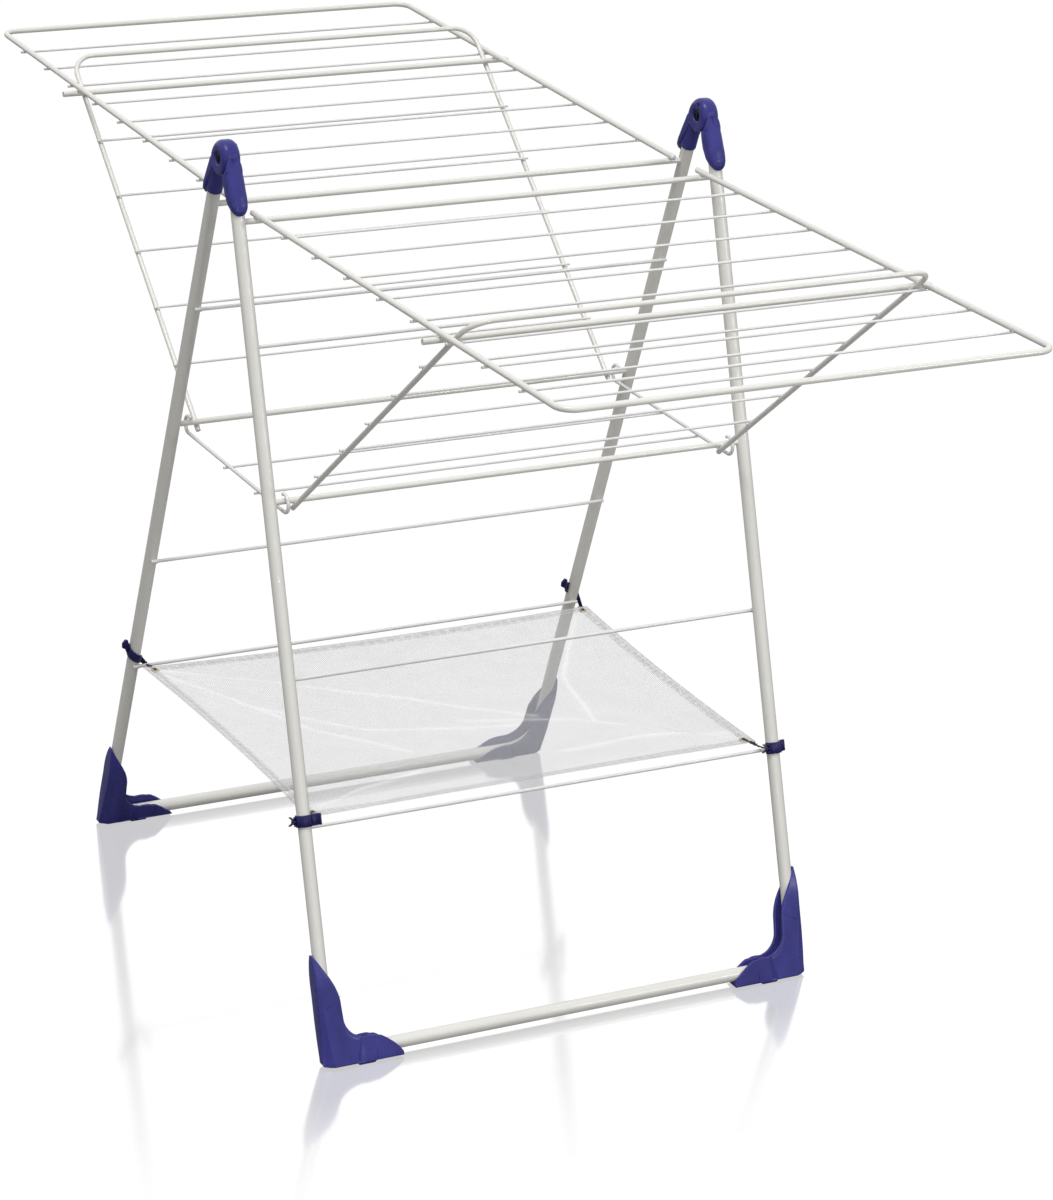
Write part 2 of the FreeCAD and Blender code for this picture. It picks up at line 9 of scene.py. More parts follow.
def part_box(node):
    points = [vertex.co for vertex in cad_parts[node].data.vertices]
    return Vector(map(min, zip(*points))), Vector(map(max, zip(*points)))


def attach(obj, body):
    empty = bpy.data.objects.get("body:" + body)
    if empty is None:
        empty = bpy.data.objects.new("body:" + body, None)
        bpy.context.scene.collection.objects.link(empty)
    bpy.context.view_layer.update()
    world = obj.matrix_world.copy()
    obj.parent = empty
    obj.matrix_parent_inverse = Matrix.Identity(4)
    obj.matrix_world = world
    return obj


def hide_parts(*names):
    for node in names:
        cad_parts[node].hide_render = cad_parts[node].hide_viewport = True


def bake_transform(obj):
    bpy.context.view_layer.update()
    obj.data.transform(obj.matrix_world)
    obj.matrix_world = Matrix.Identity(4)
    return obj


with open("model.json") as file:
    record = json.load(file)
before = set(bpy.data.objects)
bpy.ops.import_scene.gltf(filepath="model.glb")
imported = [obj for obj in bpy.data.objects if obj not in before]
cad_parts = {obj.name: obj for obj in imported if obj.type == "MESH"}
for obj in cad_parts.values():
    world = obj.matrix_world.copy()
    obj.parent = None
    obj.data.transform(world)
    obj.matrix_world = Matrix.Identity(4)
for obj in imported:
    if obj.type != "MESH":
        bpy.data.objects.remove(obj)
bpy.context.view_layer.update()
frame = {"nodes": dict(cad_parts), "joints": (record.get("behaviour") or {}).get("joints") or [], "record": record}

# -------- places read from the frame

NODES = frame["nodes"]
JOINTS = {joint["name"]: joint for joint in frame["joints"]}
SIDES = {"rear": 1, "front": -1}
HANDS = {"left": -1, "right": 1}
MM = 0.001
LEG_X = 353 * MM


def mm(*values):
    return [value * MM for value in values]


def joint_place(name):
    return Vector(JOINTS[name]["pos_m"])


HEAD = joint_place("leg_fold")
UPPER = {name: joint_place(f"{name}_wing_lift") for name in SIDES}
LOWER = {name: joint_place(f"{name}_support_swing") for name in SIDES}
# both wing pivots of a side lie on its leg's centre line
LEAN = atan2(abs(LOWER["rear"].y) - abs(UPPER["rear"].y), UPPER["rear"].z - LOWER["rear"].z)


def leg_y(height):
    """Distance of a leg's centre line from the middle plane at a height."""
    return LOWER["rear"].y + (LOWER["rear"].z - height) * sin(LEAN) / cos(LEAN)


# -------- materials


class Nodes:
    """A short way to write the node tree of a material or world."""

    def __init__(self, owner):
        owner.use_nodes = True
        self.owner, self.tree = owner, owner.node_tree
        self.coordinates = self.add("ShaderNodeTexCoord").outputs
        self.place = self.coordinates["Object"]

    def add(self, kind, inputs=None, **settings):
        node = self.tree.nodes.new(kind)
        for key, value in settings.items():
            setattr(node, key, value)
        for key, value in (inputs or {}).items():
            self.feed(node.inputs[key], value)
        return node

    def feed(self, socket, value):
        if isinstance(value, bpy.types.NodeSocket):
            self.tree.links.new(value, socket)
        else:
            socket.default_value = value

    def stretched(self, scale):
        inputs = {"Vector": self.place, "Scale": scale}
        return self.add("ShaderNodeMapping", inputs).outputs["Vector"]

    def noise(self, size, detail=3.0, roughness=0.5, vector=None):
        inputs = {"Vector": vector or self.place, "Scale": 1 / size}
        inputs |= {"Detail": detail, "Roughness": roughness}
        return self.add("ShaderNodeTexNoise", inputs).outputs["Fac"]

    def spread(self, value, low, high, out_low=0.0, out_high=1.0):
        inputs = {"Value": value, "From Min": low, "From Max": high}
        inputs |= {"To Min": out_low, "To Max": out_high}
        return self.add("ShaderNodeMapRange", inputs).outputs["Result"]

    def varied(self, size, low, high, detail=3.0):
        """Soft patches of a size between two values."""
        return self.spread(self.noise(size, detail), 0.3, 0.7, low, high)

    def mix(self, factor, a, b):
        inputs = {"Factor": factor, "A": a, "B": b}
        return self.add("ShaderNodeMix", inputs, data_type="RGBA").outputs["Result"]

    def math(self, operation, a, b=0.0):
        inputs = {0: a, 1: b}
        return self.add("ShaderNodeMath", inputs, operation=operation).outputs["Value"]

    def bump(self, height, distance, strength):
        inputs = {"Height": height, "Distance": distance, "Strength": strength}
        return self.add("ShaderNodeBump", inputs).outputs["Normal"]

    def choose(self, factor, first, second):
        """The first shader where the factor is 0, the second where it is 1."""
        inputs = {0: factor, 1: first, 2: second}
        return self.add("ShaderNodeMixShader", inputs).outputs["Shader"]

    def finish(self, **sockets):
        shader = self.tree.nodes["Principled BSDF"]
        for key, value in sockets.items():
            self.feed(shader.inputs[key.replace("_", " ")], value)
        return self.owner


def painted_metal(name, colour, shade):
    """Powder coat: warm off-white with a fine orange peel, faint clouds and a few rubbed specks."""
    n = Nodes(bpy.data.materials.new(name))
    clouds = n.noise(0.09, 4.0, 0.6)
    tone = n.mix(n.spread(clouds, 0.35, 0.7), colour, shade)
    specks = n.spread(n.noise(0.0022, 2.0), 0.70, 0.78)
    scuffs = n.math("MULTIPLY", specks, n.spread(n.noise(0.05, 2.0), 0.55, 0.7))
    worn = n.mix(n.math("MULTIPLY", scuffs, 0.35), tone, (0.42, 0.41, 0.38, 1))
    peel = n.noise(0.0016, 2.0, 0.45)
    rough = n.varied(0.012, 0.26, 0.38)
    return n.finish(
        Base_Color=worn,
        Roughness=rough,
        Normal=n.bump(peel, 0.00006, 0.5),
        Coat_Weight=0.5,
        Coat_Roughness=0.08,
        Specular_IOR_Level=0.3,
    )


def moulded_plastic(name, colour, shade):
    """Injection-moulded plastic: spark-eroded grain, flow clouds and dust-pale rubbed spots."""
    n = Nodes(bpy.data.materials.new(name))
    flow = n.noise(0.03, 4.0, 0.55, n.stretched((1.0, 1.0, 0.35)))
    tone = n.mix(n.spread(flow, 0.3, 0.7), colour, shade)
    rubbed = n.spread(n.noise(0.004, 5.0, 0.7), 0.62, 0.80, 0.0, 0.22)
    pale = n.mix(rubbed, tone, (0.16, 0.16, 0.40, 1))
    texture = n.noise(0.0009, 2.0, 0.6)
    rough = n.varied(0.008, 0.24, 0.36)
    return n.finish(
        Base_Color=pale,
        Roughness=rough,
        Normal=n.bump(texture, 0.00008, 0.6),
        Coat_Weight=0.05,
        Coat_Roughness=0.14,
        Specular_IOR_Level=0.22,
    )


def net_material(name, pitch, thread, stitched=False):
    """Knitted net: two crossing sets of soft white threads with open holes between them; on the main net the
    threads lie denser along its creases, which are painted lighter as a highlight.
    """
    n = Nodes(bpy.data.materials.new(name))
    flat = n.add("ShaderNodeUVMap", uv_map="flat").outputs["UV"]
    place = n.add("ShaderNodeSeparateXYZ", {"Vector": flat})
    wander = n.varied(0.02, -0.0006, 0.0006, 2.0)
    masks = []
    for axis in ("X", "Y"):
        at = n.math("ADD", place.outputs[axis], wander)
        phase = n.math("MULTIPLY", at, 2 * pi / pitch)
        wave = n.math("COSINE", phase)
        edge = cos(pi * thread)
        masks.append(n.spread(wave, edge - 0.12, edge + 0.12))
    cover = n.math("MAXIMUM", masks[0], masks[1])
    colour = n.mix(n.noise(0.0012, 2.0), (0.50, 0.50, 0.50, 1), (0.58, 0.58, 0.58, 1))
    if not stitched:
        # along the creases the threads lie denser, and their colour is lifted toward white as a painted highlight
        # on the folds
        fold_density_and_highlight = n.add("ShaderNodeAttribute", attribute_name="crease").outputs["Fac"]
        patchy = n.spread(n.noise(0.05, 3.0), 0.35, 0.65, -0.02, 0.05)
        cover = n.math("ADD", cover, n.math("ADD", n.math("MULTIPLY", fold_density_and_highlight, 0.2), patchy))
        colour = n.mix(fold_density_and_highlight, colour, (0.85, 0.85, 0.85, 1))
    else:
        rows = []
        for row in (0.0035, 0.0125):
            away = n.math("ABSOLUTE", n.math("SUBTRACT", place.outputs["Y"], row))
            rows.append(n.spread(away, 0.0004, 0.0008, 1.0, 0.0))
        run = n.math("MULTIPLY", place.outputs["X"], 2 * pi / 0.0042)
        dash = n.spread(n.math("COSINE", run), -0.4, -0.1)
        stitch = n.math("MULTIPLY", n.math("MAXIMUM", rows[0], rows[1]), dash)
        cover = n.math("MAXIMUM", cover, stitch)
        colour = n.mix(stitch, colour, (0.95, 0.95, 0.95, 1))
    n.owner.surface_render_method = "DITHERED"
    return n.finish(
        Base_Color=colour,
        Roughness=0.75,
        Alpha=cover,
        Normal=n.bump(cover, 0.0003, 0.7),
        Sheen_Weight=0.2,
    )


def cord_material(name, colour, light):
    """Braided cord: a fine twill of crossing strands."""
    n = Nodes(bpy.data.materials.new(name))
    strands = {"Vector": n.place, "Scale": 900.0, "Distortion": 0.5}
    first = n.add("ShaderNodeTexWave", strands).outputs["Fac"]
    crossing = {"Vector": n.stretched((1.0, -1.0, 1.0)), "Scale": 900.0}
    second = n.add("ShaderNodeTexWave", crossing).outputs["Fac"]
    weave = n.math("MULTIPLY", first, second)
    return n.finish(
        Base_Color=n.mix(weave, colour, light),
        Roughness=n.varied(0.002, 0.6, 0.8, 2.0),
        Normal=n.bump(weave, 0.0003, 0.8),
        Sheen_Weight=0.3,
    )


def plain_metal(name, colour, rough):
    """Plated or turned metal with fine tool marks."""
    n = Nodes(bpy.data.materials.new(name))
    marks = n.noise(0.0006, 4.0, 0.7, n.stretched((1.0, 0.2, 1.0)))
    dull = [level * 0.6 for level in colour[:3]] + [1]
    return n.finish(
        Base_Color=n.mix(n.varied(0.002, 0.0, 0.5), colour, dull),
        Metallic=1.0,
        Roughness=n.spread(marks, 0.3, 0.7, rough, rough + 0.15),
        Normal=n.bump(marks, 0.00004, 0.6),
    )


WHITE_TUBE = painted_metal("white_tube", (0.72, 0.712, 0.672, 1), (0.745, 0.73, 0.68, 1))
WHITE_WIRE = painted_metal("white_wire", (0.76, 0.757, 0.74, 1), (0.72, 0.716, 0.70, 1))
BLUE_PLASTIC = moulded_plastic("blue_plastic", (0.029, 0.028, 0.170, 1), (0.045, 0.043, 0.245, 1))
NAVY_PLASTIC = moulded_plastic("navy_plastic", (0.010, 0.009, 0.072, 1), (0.017, 0.015, 0.098, 1))
NET_MESH = net_material("net_mesh", 0.0026, 0.28)
NET_HEM = net_material("net_hem", 0.0022, 0.26, stitched=True)
TIE_CORD = cord_material("tie_cord", (0.010, 0.010, 0.011, 1), (0.030, 0.030, 0.032, 1))
# near black: the head pin's ends, a colour that also paints the shade in the caps' recesses and notches
RIVET_AND_RECESS_SHADE = plain_metal("rivet_steel", (0.010, 0.010, 0.013, 1), 0.36)
BRASS = plain_metal("brass", (0.55, 0.44, 0.26, 1), 0.3)

BY_SLOT = {
    "white_tube": WHITE_TUBE,
    "white_wire": WHITE_WIRE,
    "blue_plastic": BLUE_PLASTIC,
    "navy_plastic": NAVY_PLASTIC,
    "rivet_steel": RIVET_AND_RECESS_SHADE,
}


def dress_frame():
    """Gives the CAD nodes their slots' finishes; the net and its ties are replaced instead."""
    for part in frame["record"]["subparts"]:
        if part["material_slot"] in BY_SLOT:
            materials = NODES[part["node"]].data.materials
            materials.clear()
            materials.append(BY_SLOT[part["material_slot"]])


dress_frame()

# -------- mesh helpers


def new_object(name, data):
    made = bpy.data.objects.new(name, data)
    bpy.context.scene.collection.objects.link(made)
    return made


def circle(middle, across, beside, radius, sides):
    turns = [2 * pi * j / sides for j in range(sides)]
    return [middle + (across * cos(t) + beside * sin(t)) * radius for t in turns]


class Build:
    """Gathers the points and faces of one mesh."""

    def __init__(self):
        self.points, self.faces, self.sharp = [], [], []

    def loft(self, rings, closed=True, caps=True, crisp=()):
        """Joins rings of equal length; crisp names the columns whose edges stay sharp."""
        first, width = len(self.points), len(rings[0])
        for ring in rings:
            self.points += ring
        for i in range(len(rings) - 1):
            for j in range(width if closed else width - 1):
                a, b = first + i * width + j, first + i * width + (j + 1) % width
                self.faces.append((a, b, b + width, a + width))
            self.sharp += [(first + i * width + j, first + (i + 1) * width + j) for j in crisp]
        if caps:
            last = first + (len(rings) - 1) * width
            self.faces.append(tuple(range(first + width - 1, first - 1, -1)))
            self.faces.append(tuple(range(last, last + width)))
        return self

    def tube(self, path, radius, sides):
        """A round tube along a path of points; radius is one number or one per point."""
        radii = radius if isinstance(radius, (list, tuple)) else [radius] * len(path)
        across = (path[1] - path[0]).orthogonal().normalized()
        rings = []
        for i, (place, r) in enumerate(zip(path, radii)):
            ahead = (path[min(i + 1, len(path) - 1)] - path[max(i - 1, 0)]).normalized()
            across = (across - ahead * across.dot(ahead)).normalized()
            rings.append(circle(place, across, ahead.cross(across), r, sides))
        return self.loft(rings)

    def lathe(self, profile, middle, axis, sides=40):
        """Turns (radius, height) pairs round an axis."""
        axis = axis.normalized()
        across = axis.orthogonal().normalized()
        beside = axis.cross(across)
        rings = [circle(middle + axis * high, across, beside, r, sides) for r, high in profile]
        return self.loft(rings, caps=False)

    def ring(self, middle, axis, radius, thick):
        """A torus."""
        turns = [2 * pi * j / 10 for j in range(11)]
        profile = [(radius + thick * cos(t), thick * sin(t)) for t in turns]
        return self.lathe(profile, middle, axis, 20)

    def plate(self, corners, thickness):
        """A flat closed outline given real thickness along its own normal, with softened edges."""
        middle = sum(corners, Vector()) / len(corners)
        normal = (corners[1] - corners[0]).cross(corners[2] - corners[1]).normalized()
        half = thickness / 2
        rings = []
        for inset, height in ((0.35, -1), (0.1, -0.9), (0, -0.6), (0, 0.6), (0.1, 0.9), (0.35, 1)):
            ring = []
            for corner in corners:
                inward = (middle - corner).normalized() * inset * half
                ring.append(corner + inward + normal * height * half)
            rings.append(ring)
        return self.loft(rings)

    def bead(self, middle, radii, sides=10):
        """A small blob of weld metal."""
        rings = []
        for i in range(1, 6):
            t = pi * i / 6
            ring = []
            for j in range(sides):
                s = 2 * pi * j / sides
                unit = Vector((sin(t) * cos(s), sin(t) * sin(s), cos(t)))
                ring.append(middle + unit * Vector(radii))
            rings.append(ring)
        return self.loft(rings)

    def make(self, name, material, uv=None):
        """The smooth-shaded piece, its crisp edges kept sharp; uv has a place for each point."""
        mesh = bpy.data.meshes.new(name)
        mesh.from_pydata([tuple(point) for point in self.points], [], self.faces)
        mesh.materials.append(material)
        mesh.polygons.foreach_set("use_smooth", [True] * len(mesh.polygons))
        wanted = {frozenset(pair) for pair in self.sharp}
        if wanted:
            for edge in mesh.edges:
                edge.use_edge_sharp = frozenset(edge.vertices) in wanted
        if uv:
            layer = mesh.uv_layers.new(name="flat")
            for loop in mesh.loops:
                layer.data[loop.index].uv = uv[loop.vertex_index]
        mesh.validate()
        return new_object(name, mesh)

    def solid(self, name, material):
        """The same with every face turned to look outward."""
        piece = self.make(name, material)
        bm = bmesh.new()
        bm.from_mesh(piece.data)
        bmesh.ops.recalc_face_normals(bm, faces=bm.faces)
        bm.to_mesh(piece.data)
        bm.free()
        return piece


def blendline(stops, at):
    """The value at a position, on straight runs between (position, value) stops in rising order."""
    if at <= stops[0][0]:
        return stops[0][1]
    for (a, low), (b, high) in zip(stops, stops[1:]):
        if at <= b:
            t = (at - a) / (b - a)
            return low + (high - low) * t
    return stops[-1][1]


# -------- corner shoes

FOOT_Y = 397 * MM
TUBE_Z = 14 * MM
TUBE = 9.0
BEND = 45.0
OUTSIDE = 12.8
CHEEK = 12.5
CORNER_RADIUS = 3.2
SHOE_TOP = 134
SHOE_END = 101
SOLE_Z = 2.5 * MM


class LegPlane:
    """A leg frame's plane at one corner: inward and up from the tube's corner, then outward."""

    def __init__(self, side, hand):
        self.corner = Vector((hand * LEG_X, side * FOOT_Y, TUBE_Z))
        self.inward = Vector((-hand, 0, 0))
        self.up = Vector((0, -side * sin(LEAN), cos(LEAN)))
        self.outward = Vector((0, side * cos(LEAN), sin(LEAN)))

    def at(self, inward, up, outward=0.0):
        return self.corner + (self.inward * inward + self.up * up + self.outward * outward) * MM

    def on_sole(self, inward, up, outward):
        """The same place, kept above the sole's level and inside the rounded lower corner."""
        floor = (SOLE_Z - self.at(0, 0, outward).z) / self.up.z / MM
        up = max(up, floor)
        aside, high = CORNER_RADIUS - OUTSIDE - inward, floor + CORNER_RADIUS - up
        far = hypot(aside, high)
        if aside > 0 and high > 0 and far > CORNER_RADIUS:
            inward += aside * (1 - CORNER_RADIUS / far)
            up += high * (1 - CORNER_RADIUS / far)
        return self.at(inward, up, outward)


def shoe_stations():
    """Along the tube: (centre, direction across toward the inside, cheek depth, outer offset)."""
    depth_up = ((45, 20), (60, 19), (70, 18.5), (80, 16.5), (90, 13), (102, 7), (116, -1.5))
    depth_up += ((SHOE_TOP, -11.2),)
    outer_up = ((45, 12.8), (60, 12.4), (80, 12.2), (102, 12.6), (124, 12.6), (SHOE_TOP, 12.3))
    depth_in = ((45, 17), (55, 17.6), (60, 17.4), (65, 15.7), (71, 15.2), (80, 9.5), (90, 1.5))
    depth_in += ((97, -5.5), (SHOE_END, -11.5))
    stations = []
    for i in range(31):
        up = SHOE_TOP - (SHOE_TOP - BEND) * i / 30
        stations.append(((0.0, up), (1.0, 0.0), blendline(depth_up, up), blendline(outer_up, up)))
    # the stations crowd together where the outline turns its lower corner
    for degrees_round in [*range(4, 40, 4), *range(39, 51), *range(51, 91, 4)]:
        turn = radians(degrees_round)
        toward = (cos(turn), sin(turn))
        centre = (BEND - BEND * toward[0], BEND - BEND * toward[1])
        outer = min((BEND + OUTSIDE) / toward[0], 62.0 / toward[1]) - BEND
        depth = 20 + 1.6 * sin(radians(2 * degrees_round)) - 2.5 * degrees_round / 90
        stations.append((centre, toward, depth, outer))
    for i in range(21):
        inward = BEND + (SHOE_END - BEND) * i / 20
        stations.append(((inward, 0.0), (0.0, 1.0), blendline(depth_in, inward), 17.0))
    return stations


def crease_at(up):
    """Where the cheek's long crease lies, inward of the leg's centre line."""
    stops = ((-20, 2.5), (0, 0), (20, -3.5), (60, -7.5), (100, -9.5), (SHOE_TOP, -11.5))
    return blendline(stops, up)


def shoe_section(place, centre, toward, depth, outer):
    """The C-shaped section at a station: along one cheek, round the outside, and back inside."""
    wall, edge = CHEEK, 1.6
    if centre[1] > 90:
        wall = CHEEK - 8.0 * ((centre[1] - 90) / (SHOE_TOP - 90)) ** 2
    crease = depth - 1.0
    if toward[0] > 0.15:
        crease = -(centre[0] - crease_at(centre[1] - 12 * toward[1])) / toward[0]
    crease = max(min(crease, depth - 1.0), edge - outer + 0.5)
    across = [depth + (crease - depth) * i / 6 for i in range(6)]
    across += [crease + (edge - outer - crease) * i / 5 for i in range(6)]
    skin = []
    for x in across:
        fall = 0.5 * max(0.0, crease - x) * min(1.0, toward[0] * 1.4)
        skin.append((x, wall - min(fall, 6.5)))
    rim = skin[-1][1]
    for i in range(1, 6):
        t = radians(90 * i / 5)
        skin.append((edge - outer - edge * sin(t), rim - edge + edge * cos(t)))
    skin.append((-outer, 0.0))
    mirrored = [(x, -z) for x, z in reversed(skin[:-1])]
    room = []
    for i in range(9):
        x = depth + (-TUBE - 0.1 - depth) * i / 8 if depth > -TUBE else depth
        z = sqrt(max(0.0, (TUBE + 0.15) ** 2 - min(x, 0.0) ** 2)) if x > -TUBE else 0.0
        room.append((x, z))
    lip_x, lip_z = depth + 0.8, (skin[0][1] + room[0][1]) / 2
    inside = [(x, -z) for x, z in room] + room[-2::-1]
    outline = skin + mirrored + [(lip_x, -lip_z)] + inside + [(lip_x, lip_z)]
    points = []
    for x, z in outline:
        inward, up = centre[0] + toward[0] * x, centre[1] + toward[1] * x
        points.append(place.on_sole(inward, up, z))
    return points


def ridge(build, place, start, end):
    """A fine raised mould line on a cheek's outer face."""
    along = Vector((end[0] - start[0], end[1] - start[1])).normalized()
    beside = Vector((-along.y, along.x)) * 0.5
    rings = []
    for spot in (start, end):
        ring = []
        for offset, rise in ((-1, -0.3), (0, 0.5), (1, -0.3)):
            here = Vector(spot) + beside * offset
            ring.append(place.at(here.x, here.y, CHEEK + rise))
        rings.append(ring)
    build.loft(rings)


def sole_pad(build, place):
    """The wear pad under a shoe, as wide as the cheeks, with chamfered ends."""
    rings = []
    for inward, low in ((34, 2.4), (36.5, 0.0), (58.5, 0.0), (61, 2.4)):
        ring = []
        for aside, high in ((-8.0, low), (-8.4, 4.5), (16.6, 4.5), (17.0, low)):
            spot = place.at(inward, 0)
            spot.y = place.corner.y + (aside if place.corner.y > 0 else -aside) * MM
            spot.z = high * MM
            ring.append(spot)
        rings.append(ring)
    build.loft(rings)


def shoe(name, side, hand_name, hand):
    place = LegPlane(side, hand)
    build = Build()
    build.loft([shoe_section(place, *station) for station in shoe_stations()], crisp=(6, 28))
    ridge(build, place, (-3, 62), (19, 76))
    ridge(build, place, (63, -14), (63, 14))
    sole_pad(build, place)
    piece = build.solid(f"{name}_shoe_{hand_name}", BLUE_PLASTIC)
    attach(piece, f"{name}_frame")
    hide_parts(f"{name}_foot_{hand_name}")


# -------- head caps

# where a leg's centre line is level with the head pivot
AXIS_START = leg_y(HEAD.z) / MM
DOME = 23.0
DOME_HALF = 13.0
# the leaf's two sides, across the leg at distances down it
LEAF_TOP = -6.0
LEAF_TIP = 72.3
LEAF_OUTER = ((-6, 5.8), (20, 9.8), (46, 14.2), (60, 14.8), (67, 13.6), (71, 11.2), (LEAF_TIP, 9))
LEAF_INNER = ((27, -15), (40, -14), (55, -8), (64, -0.5), (70, 4.8), (LEAF_TIP, 8))


class HeadView:
    """The side view on a head pivot: toward the cap's own leg, up and across (x), in mm."""

    def __init__(self, side, hand):
        self.side = side
        self.middle = Vector((hand * LEG_X, HEAD.y, HEAD.z))

    def read(self, spot):
        x, y, z = [(there - here) / MM for there, here in zip(spot, self.middle)]
        return y * self.side, z, x

    def at(self, toward, up, x):
        return self.middle + Vector((x * MM, self.side * toward * MM, up * MM))

    def oval(self, along, inner, outer, half, power):
        """A rounded oblong across the leg at a distance down it, boxier as the power rises."""
        middle, reach = (inner + outer) / 2, (outer - inner) / 2
        ring = []
        for i in range(40):
            turn = 2 * pi * (i + 0.5) / 40
            across = copysign(abs(cos(turn)) ** (2 / power), cos(turn))
            x = copysign(abs(sin(turn)) ** (2 / power), sin(turn))
            ring.append(self.at(*along_leg(middle + reach * across, along), half * x))
        return ring


def along_leg(across, along):
    """A point in the side view, square to the leg and down along it."""
    toward = AXIS_START + across * cos(LEAN) + along * sin(LEAN)
    return toward, across * sin(LEAN) - along * cos(LEAN)


def off_leg(toward, up):
    """The inverse of along_leg."""
    across = (toward - AXIS_START) * cos(LEAN) + up * sin(LEAN)
    return across, (toward - AXIS_START) * sin(LEAN) - up * cos(LEAN)


def dense_copy(name, node, voxel, material):
    """A finely and evenly meshed copy of a CAD node, ready to be rounded."""
    piece = new_object(name, NODES[node].data.copy())
    remesh = piece.modifiers.new("even", "REMESH")
    remesh.mode = "VOXEL"
    remesh.voxel_size = voxel
    apply_modifiers(piece)
    piece.data.materials.clear()
    piece.data.materials.append(material)
    return piece


def apply_modifiers(piece):
    """Works a piece's modifiers into its mesh, and shades it smooth."""
    view = bpy.context.evaluated_depsgraph_get()
    view.update()
    mesh = bpy.data.meshes.new_from_object(piece.evaluated_get(view))
    mesh.polygons.foreach_set("use_smooth", [True] * len(mesh.polygons))
    piece.modifiers.clear()
    piece.data = mesh


def settle(piece, rounds, keep):
    """Smooths a dense mesh and thins it where it is flat."""
    smooth = piece.modifiers.new("smooth", "SMOOTH")
    smooth.factor = 0.5
    smooth.iterations = rounds
    thin = piece.modifiers.new("thin", "DECIMATE")
    thin.ratio = keep
    apply_modifiers(piece)


def edge_rounded(depth, high, radius, full):
    """Moves a point, given as depth inside the outline and height, onto a quarter-round edge."""
    inner, flat = depth - radius, abs(high) - (full - radius)
    far = hypot(inner, flat)
    if inner < 0 and flat > 0 and far > radius:
        inner, flat = inner * radius / far, flat * radius / far
        return inner + radius, copysign(flat + full - radius, high)
    return depth, high


def inside_tube(across, x):
    """Draws a point of a cap's core in toward the leg's centre line, so its tube hides it."""
    share = min(1.0, (TUBE - 1) / max(0.1, hypot(across, x)))
    return across * share, x * share


def rear_cap(hand_name, hand):
    """The clevis cap's rounded dome over the pivot, and its core drawn in under the arm."""
    view = HeadView(1, hand)
    name = f"rear_cap_shell_{hand_name}"
    piece = dense_copy(name, f"rear_cap_{hand_name}", 0.7 * MM, BLUE_PLASTIC)
    for vertex in piece.data.vertices:
        toward, up, x = view.read(vertex.co)
        from_pin = hypot(toward, up)
        across, along = off_leg(toward, up)
        if along < 22 and 12 < from_pin < DOME + 0.2:
            radius = blendline(((-14, 3.0), (2, 8.0), (12, 9.5)), up - 0.35 * toward)
            depth, x = edge_rounded(DOME - from_pin, x, radius, DOME_HALF)
            scale = (DOME - depth) / from_pin
            toward, up = toward * scale, up * scale
        elif from_pin >= DOME + 0.2 and across > dome_side(along) - 3:
            across = min(across, blendline(((-6, 1.0), (57, 9.0)), along))
            across, x = inside_tube(across, x)
            toward, up = along_leg(across, min(along, 54.0))
        vertex.co = view.at(toward, up, x)
    settle(piece, 8, 0.6)
    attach(piece, "rear_frame")
    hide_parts(f"rear_cap_{hand_name}")


def dome_side(along):
    """Across the leg, the place where the head's round dome ends at a distance down the leg."""
    short = (DOME + 0.25) ** 2 - (along + AXIS_START * sin(LEAN)) ** 2
    return sqrt(short) - AXIS_START * cos(LEAN) if short > 0 else -99.0


def arch(along, top, foot):
    """A cap's share of its full width at a distance down the leg: 0 at its top, 1 past its foot."""
    return sqrt(max(0.0, 1 - (max(0.0, foot - along) / (foot - top)) ** 2.4))


def rear_arm(hand_name, hand):
    """The rear cap's arm down its leg: it grows out of the dome under an arch."""
    view = HeadView(1, hand)
    rings = []
    for i in range(49):
        along = 57.4 - 59.4 * i / 48
        outer = blendline(((-2, 4.6), (14, 6.6), (30, 9.4), (57, 12.6)), along)
        inner = min(outer - 0.5, max(dome_side(along) - 2.0, -11.2))
        half = blendline(((20, 11.4), (34, 10.4)), along) * arch(along, -2.2, 22)
        if along > 56.5:
            half, outer, inner = half - 0.6, outer - 0.6, inner + 0.6
        power = blendline(((20, 3.0), (34, 2.2)), along)
        rings.append(view.oval(along, inner, outer, half, power))
    piece = Build().loft(rings).solid(f"rear_cap_arm_{hand_name}", BLUE_PLASTIC)
    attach(piece, "rear_frame")


def cap_skirt(hand_name, hand):
    """The rear cap's outer skirt: from the dome down to the hook, ending in a long curved edge."""
    view = HeadView(1, hand)
    rings = []
    for i in range(41):
        along = 68 - 73 * i / 40
        stops = ((-5, 2.6), (2, 4.8), (14, 7.4), (30, 10.0), (57, 13.2), (68, 15.0))
        outer = blendline(stops, along)
        inner = outer - 2.4 - 17.0 * (1 - max(0.0, along - 2) / 66) ** 0.75
        inner = min(outer - 0.5, max(inner, dome_side(along) - 1.0))
        half = 13.0 * arch(along, -5.2, 20)
        if along > 50:
            half = blendline(((50, 13.0), (60, 11.4), (68, 6.0)), along)
        rings.append(view.oval(along, inner, outer, half, 4.6))
    build = Build().loft(rings)
    # the little hook under the skirt's corner
    bend = ((13.2, 64), (14.6, 68), (15.0, 71.5))
    nub = [view.at(*along_leg(across, along), 0) for across, along in bend]
    build.tube(nub, mm(2.4, 3.4, 2.4), 16)
    piece = build.solid(f"rear_cap_skirt_{hand_name}", BLUE_PLASTIC)
    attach(piece, "rear_frame")


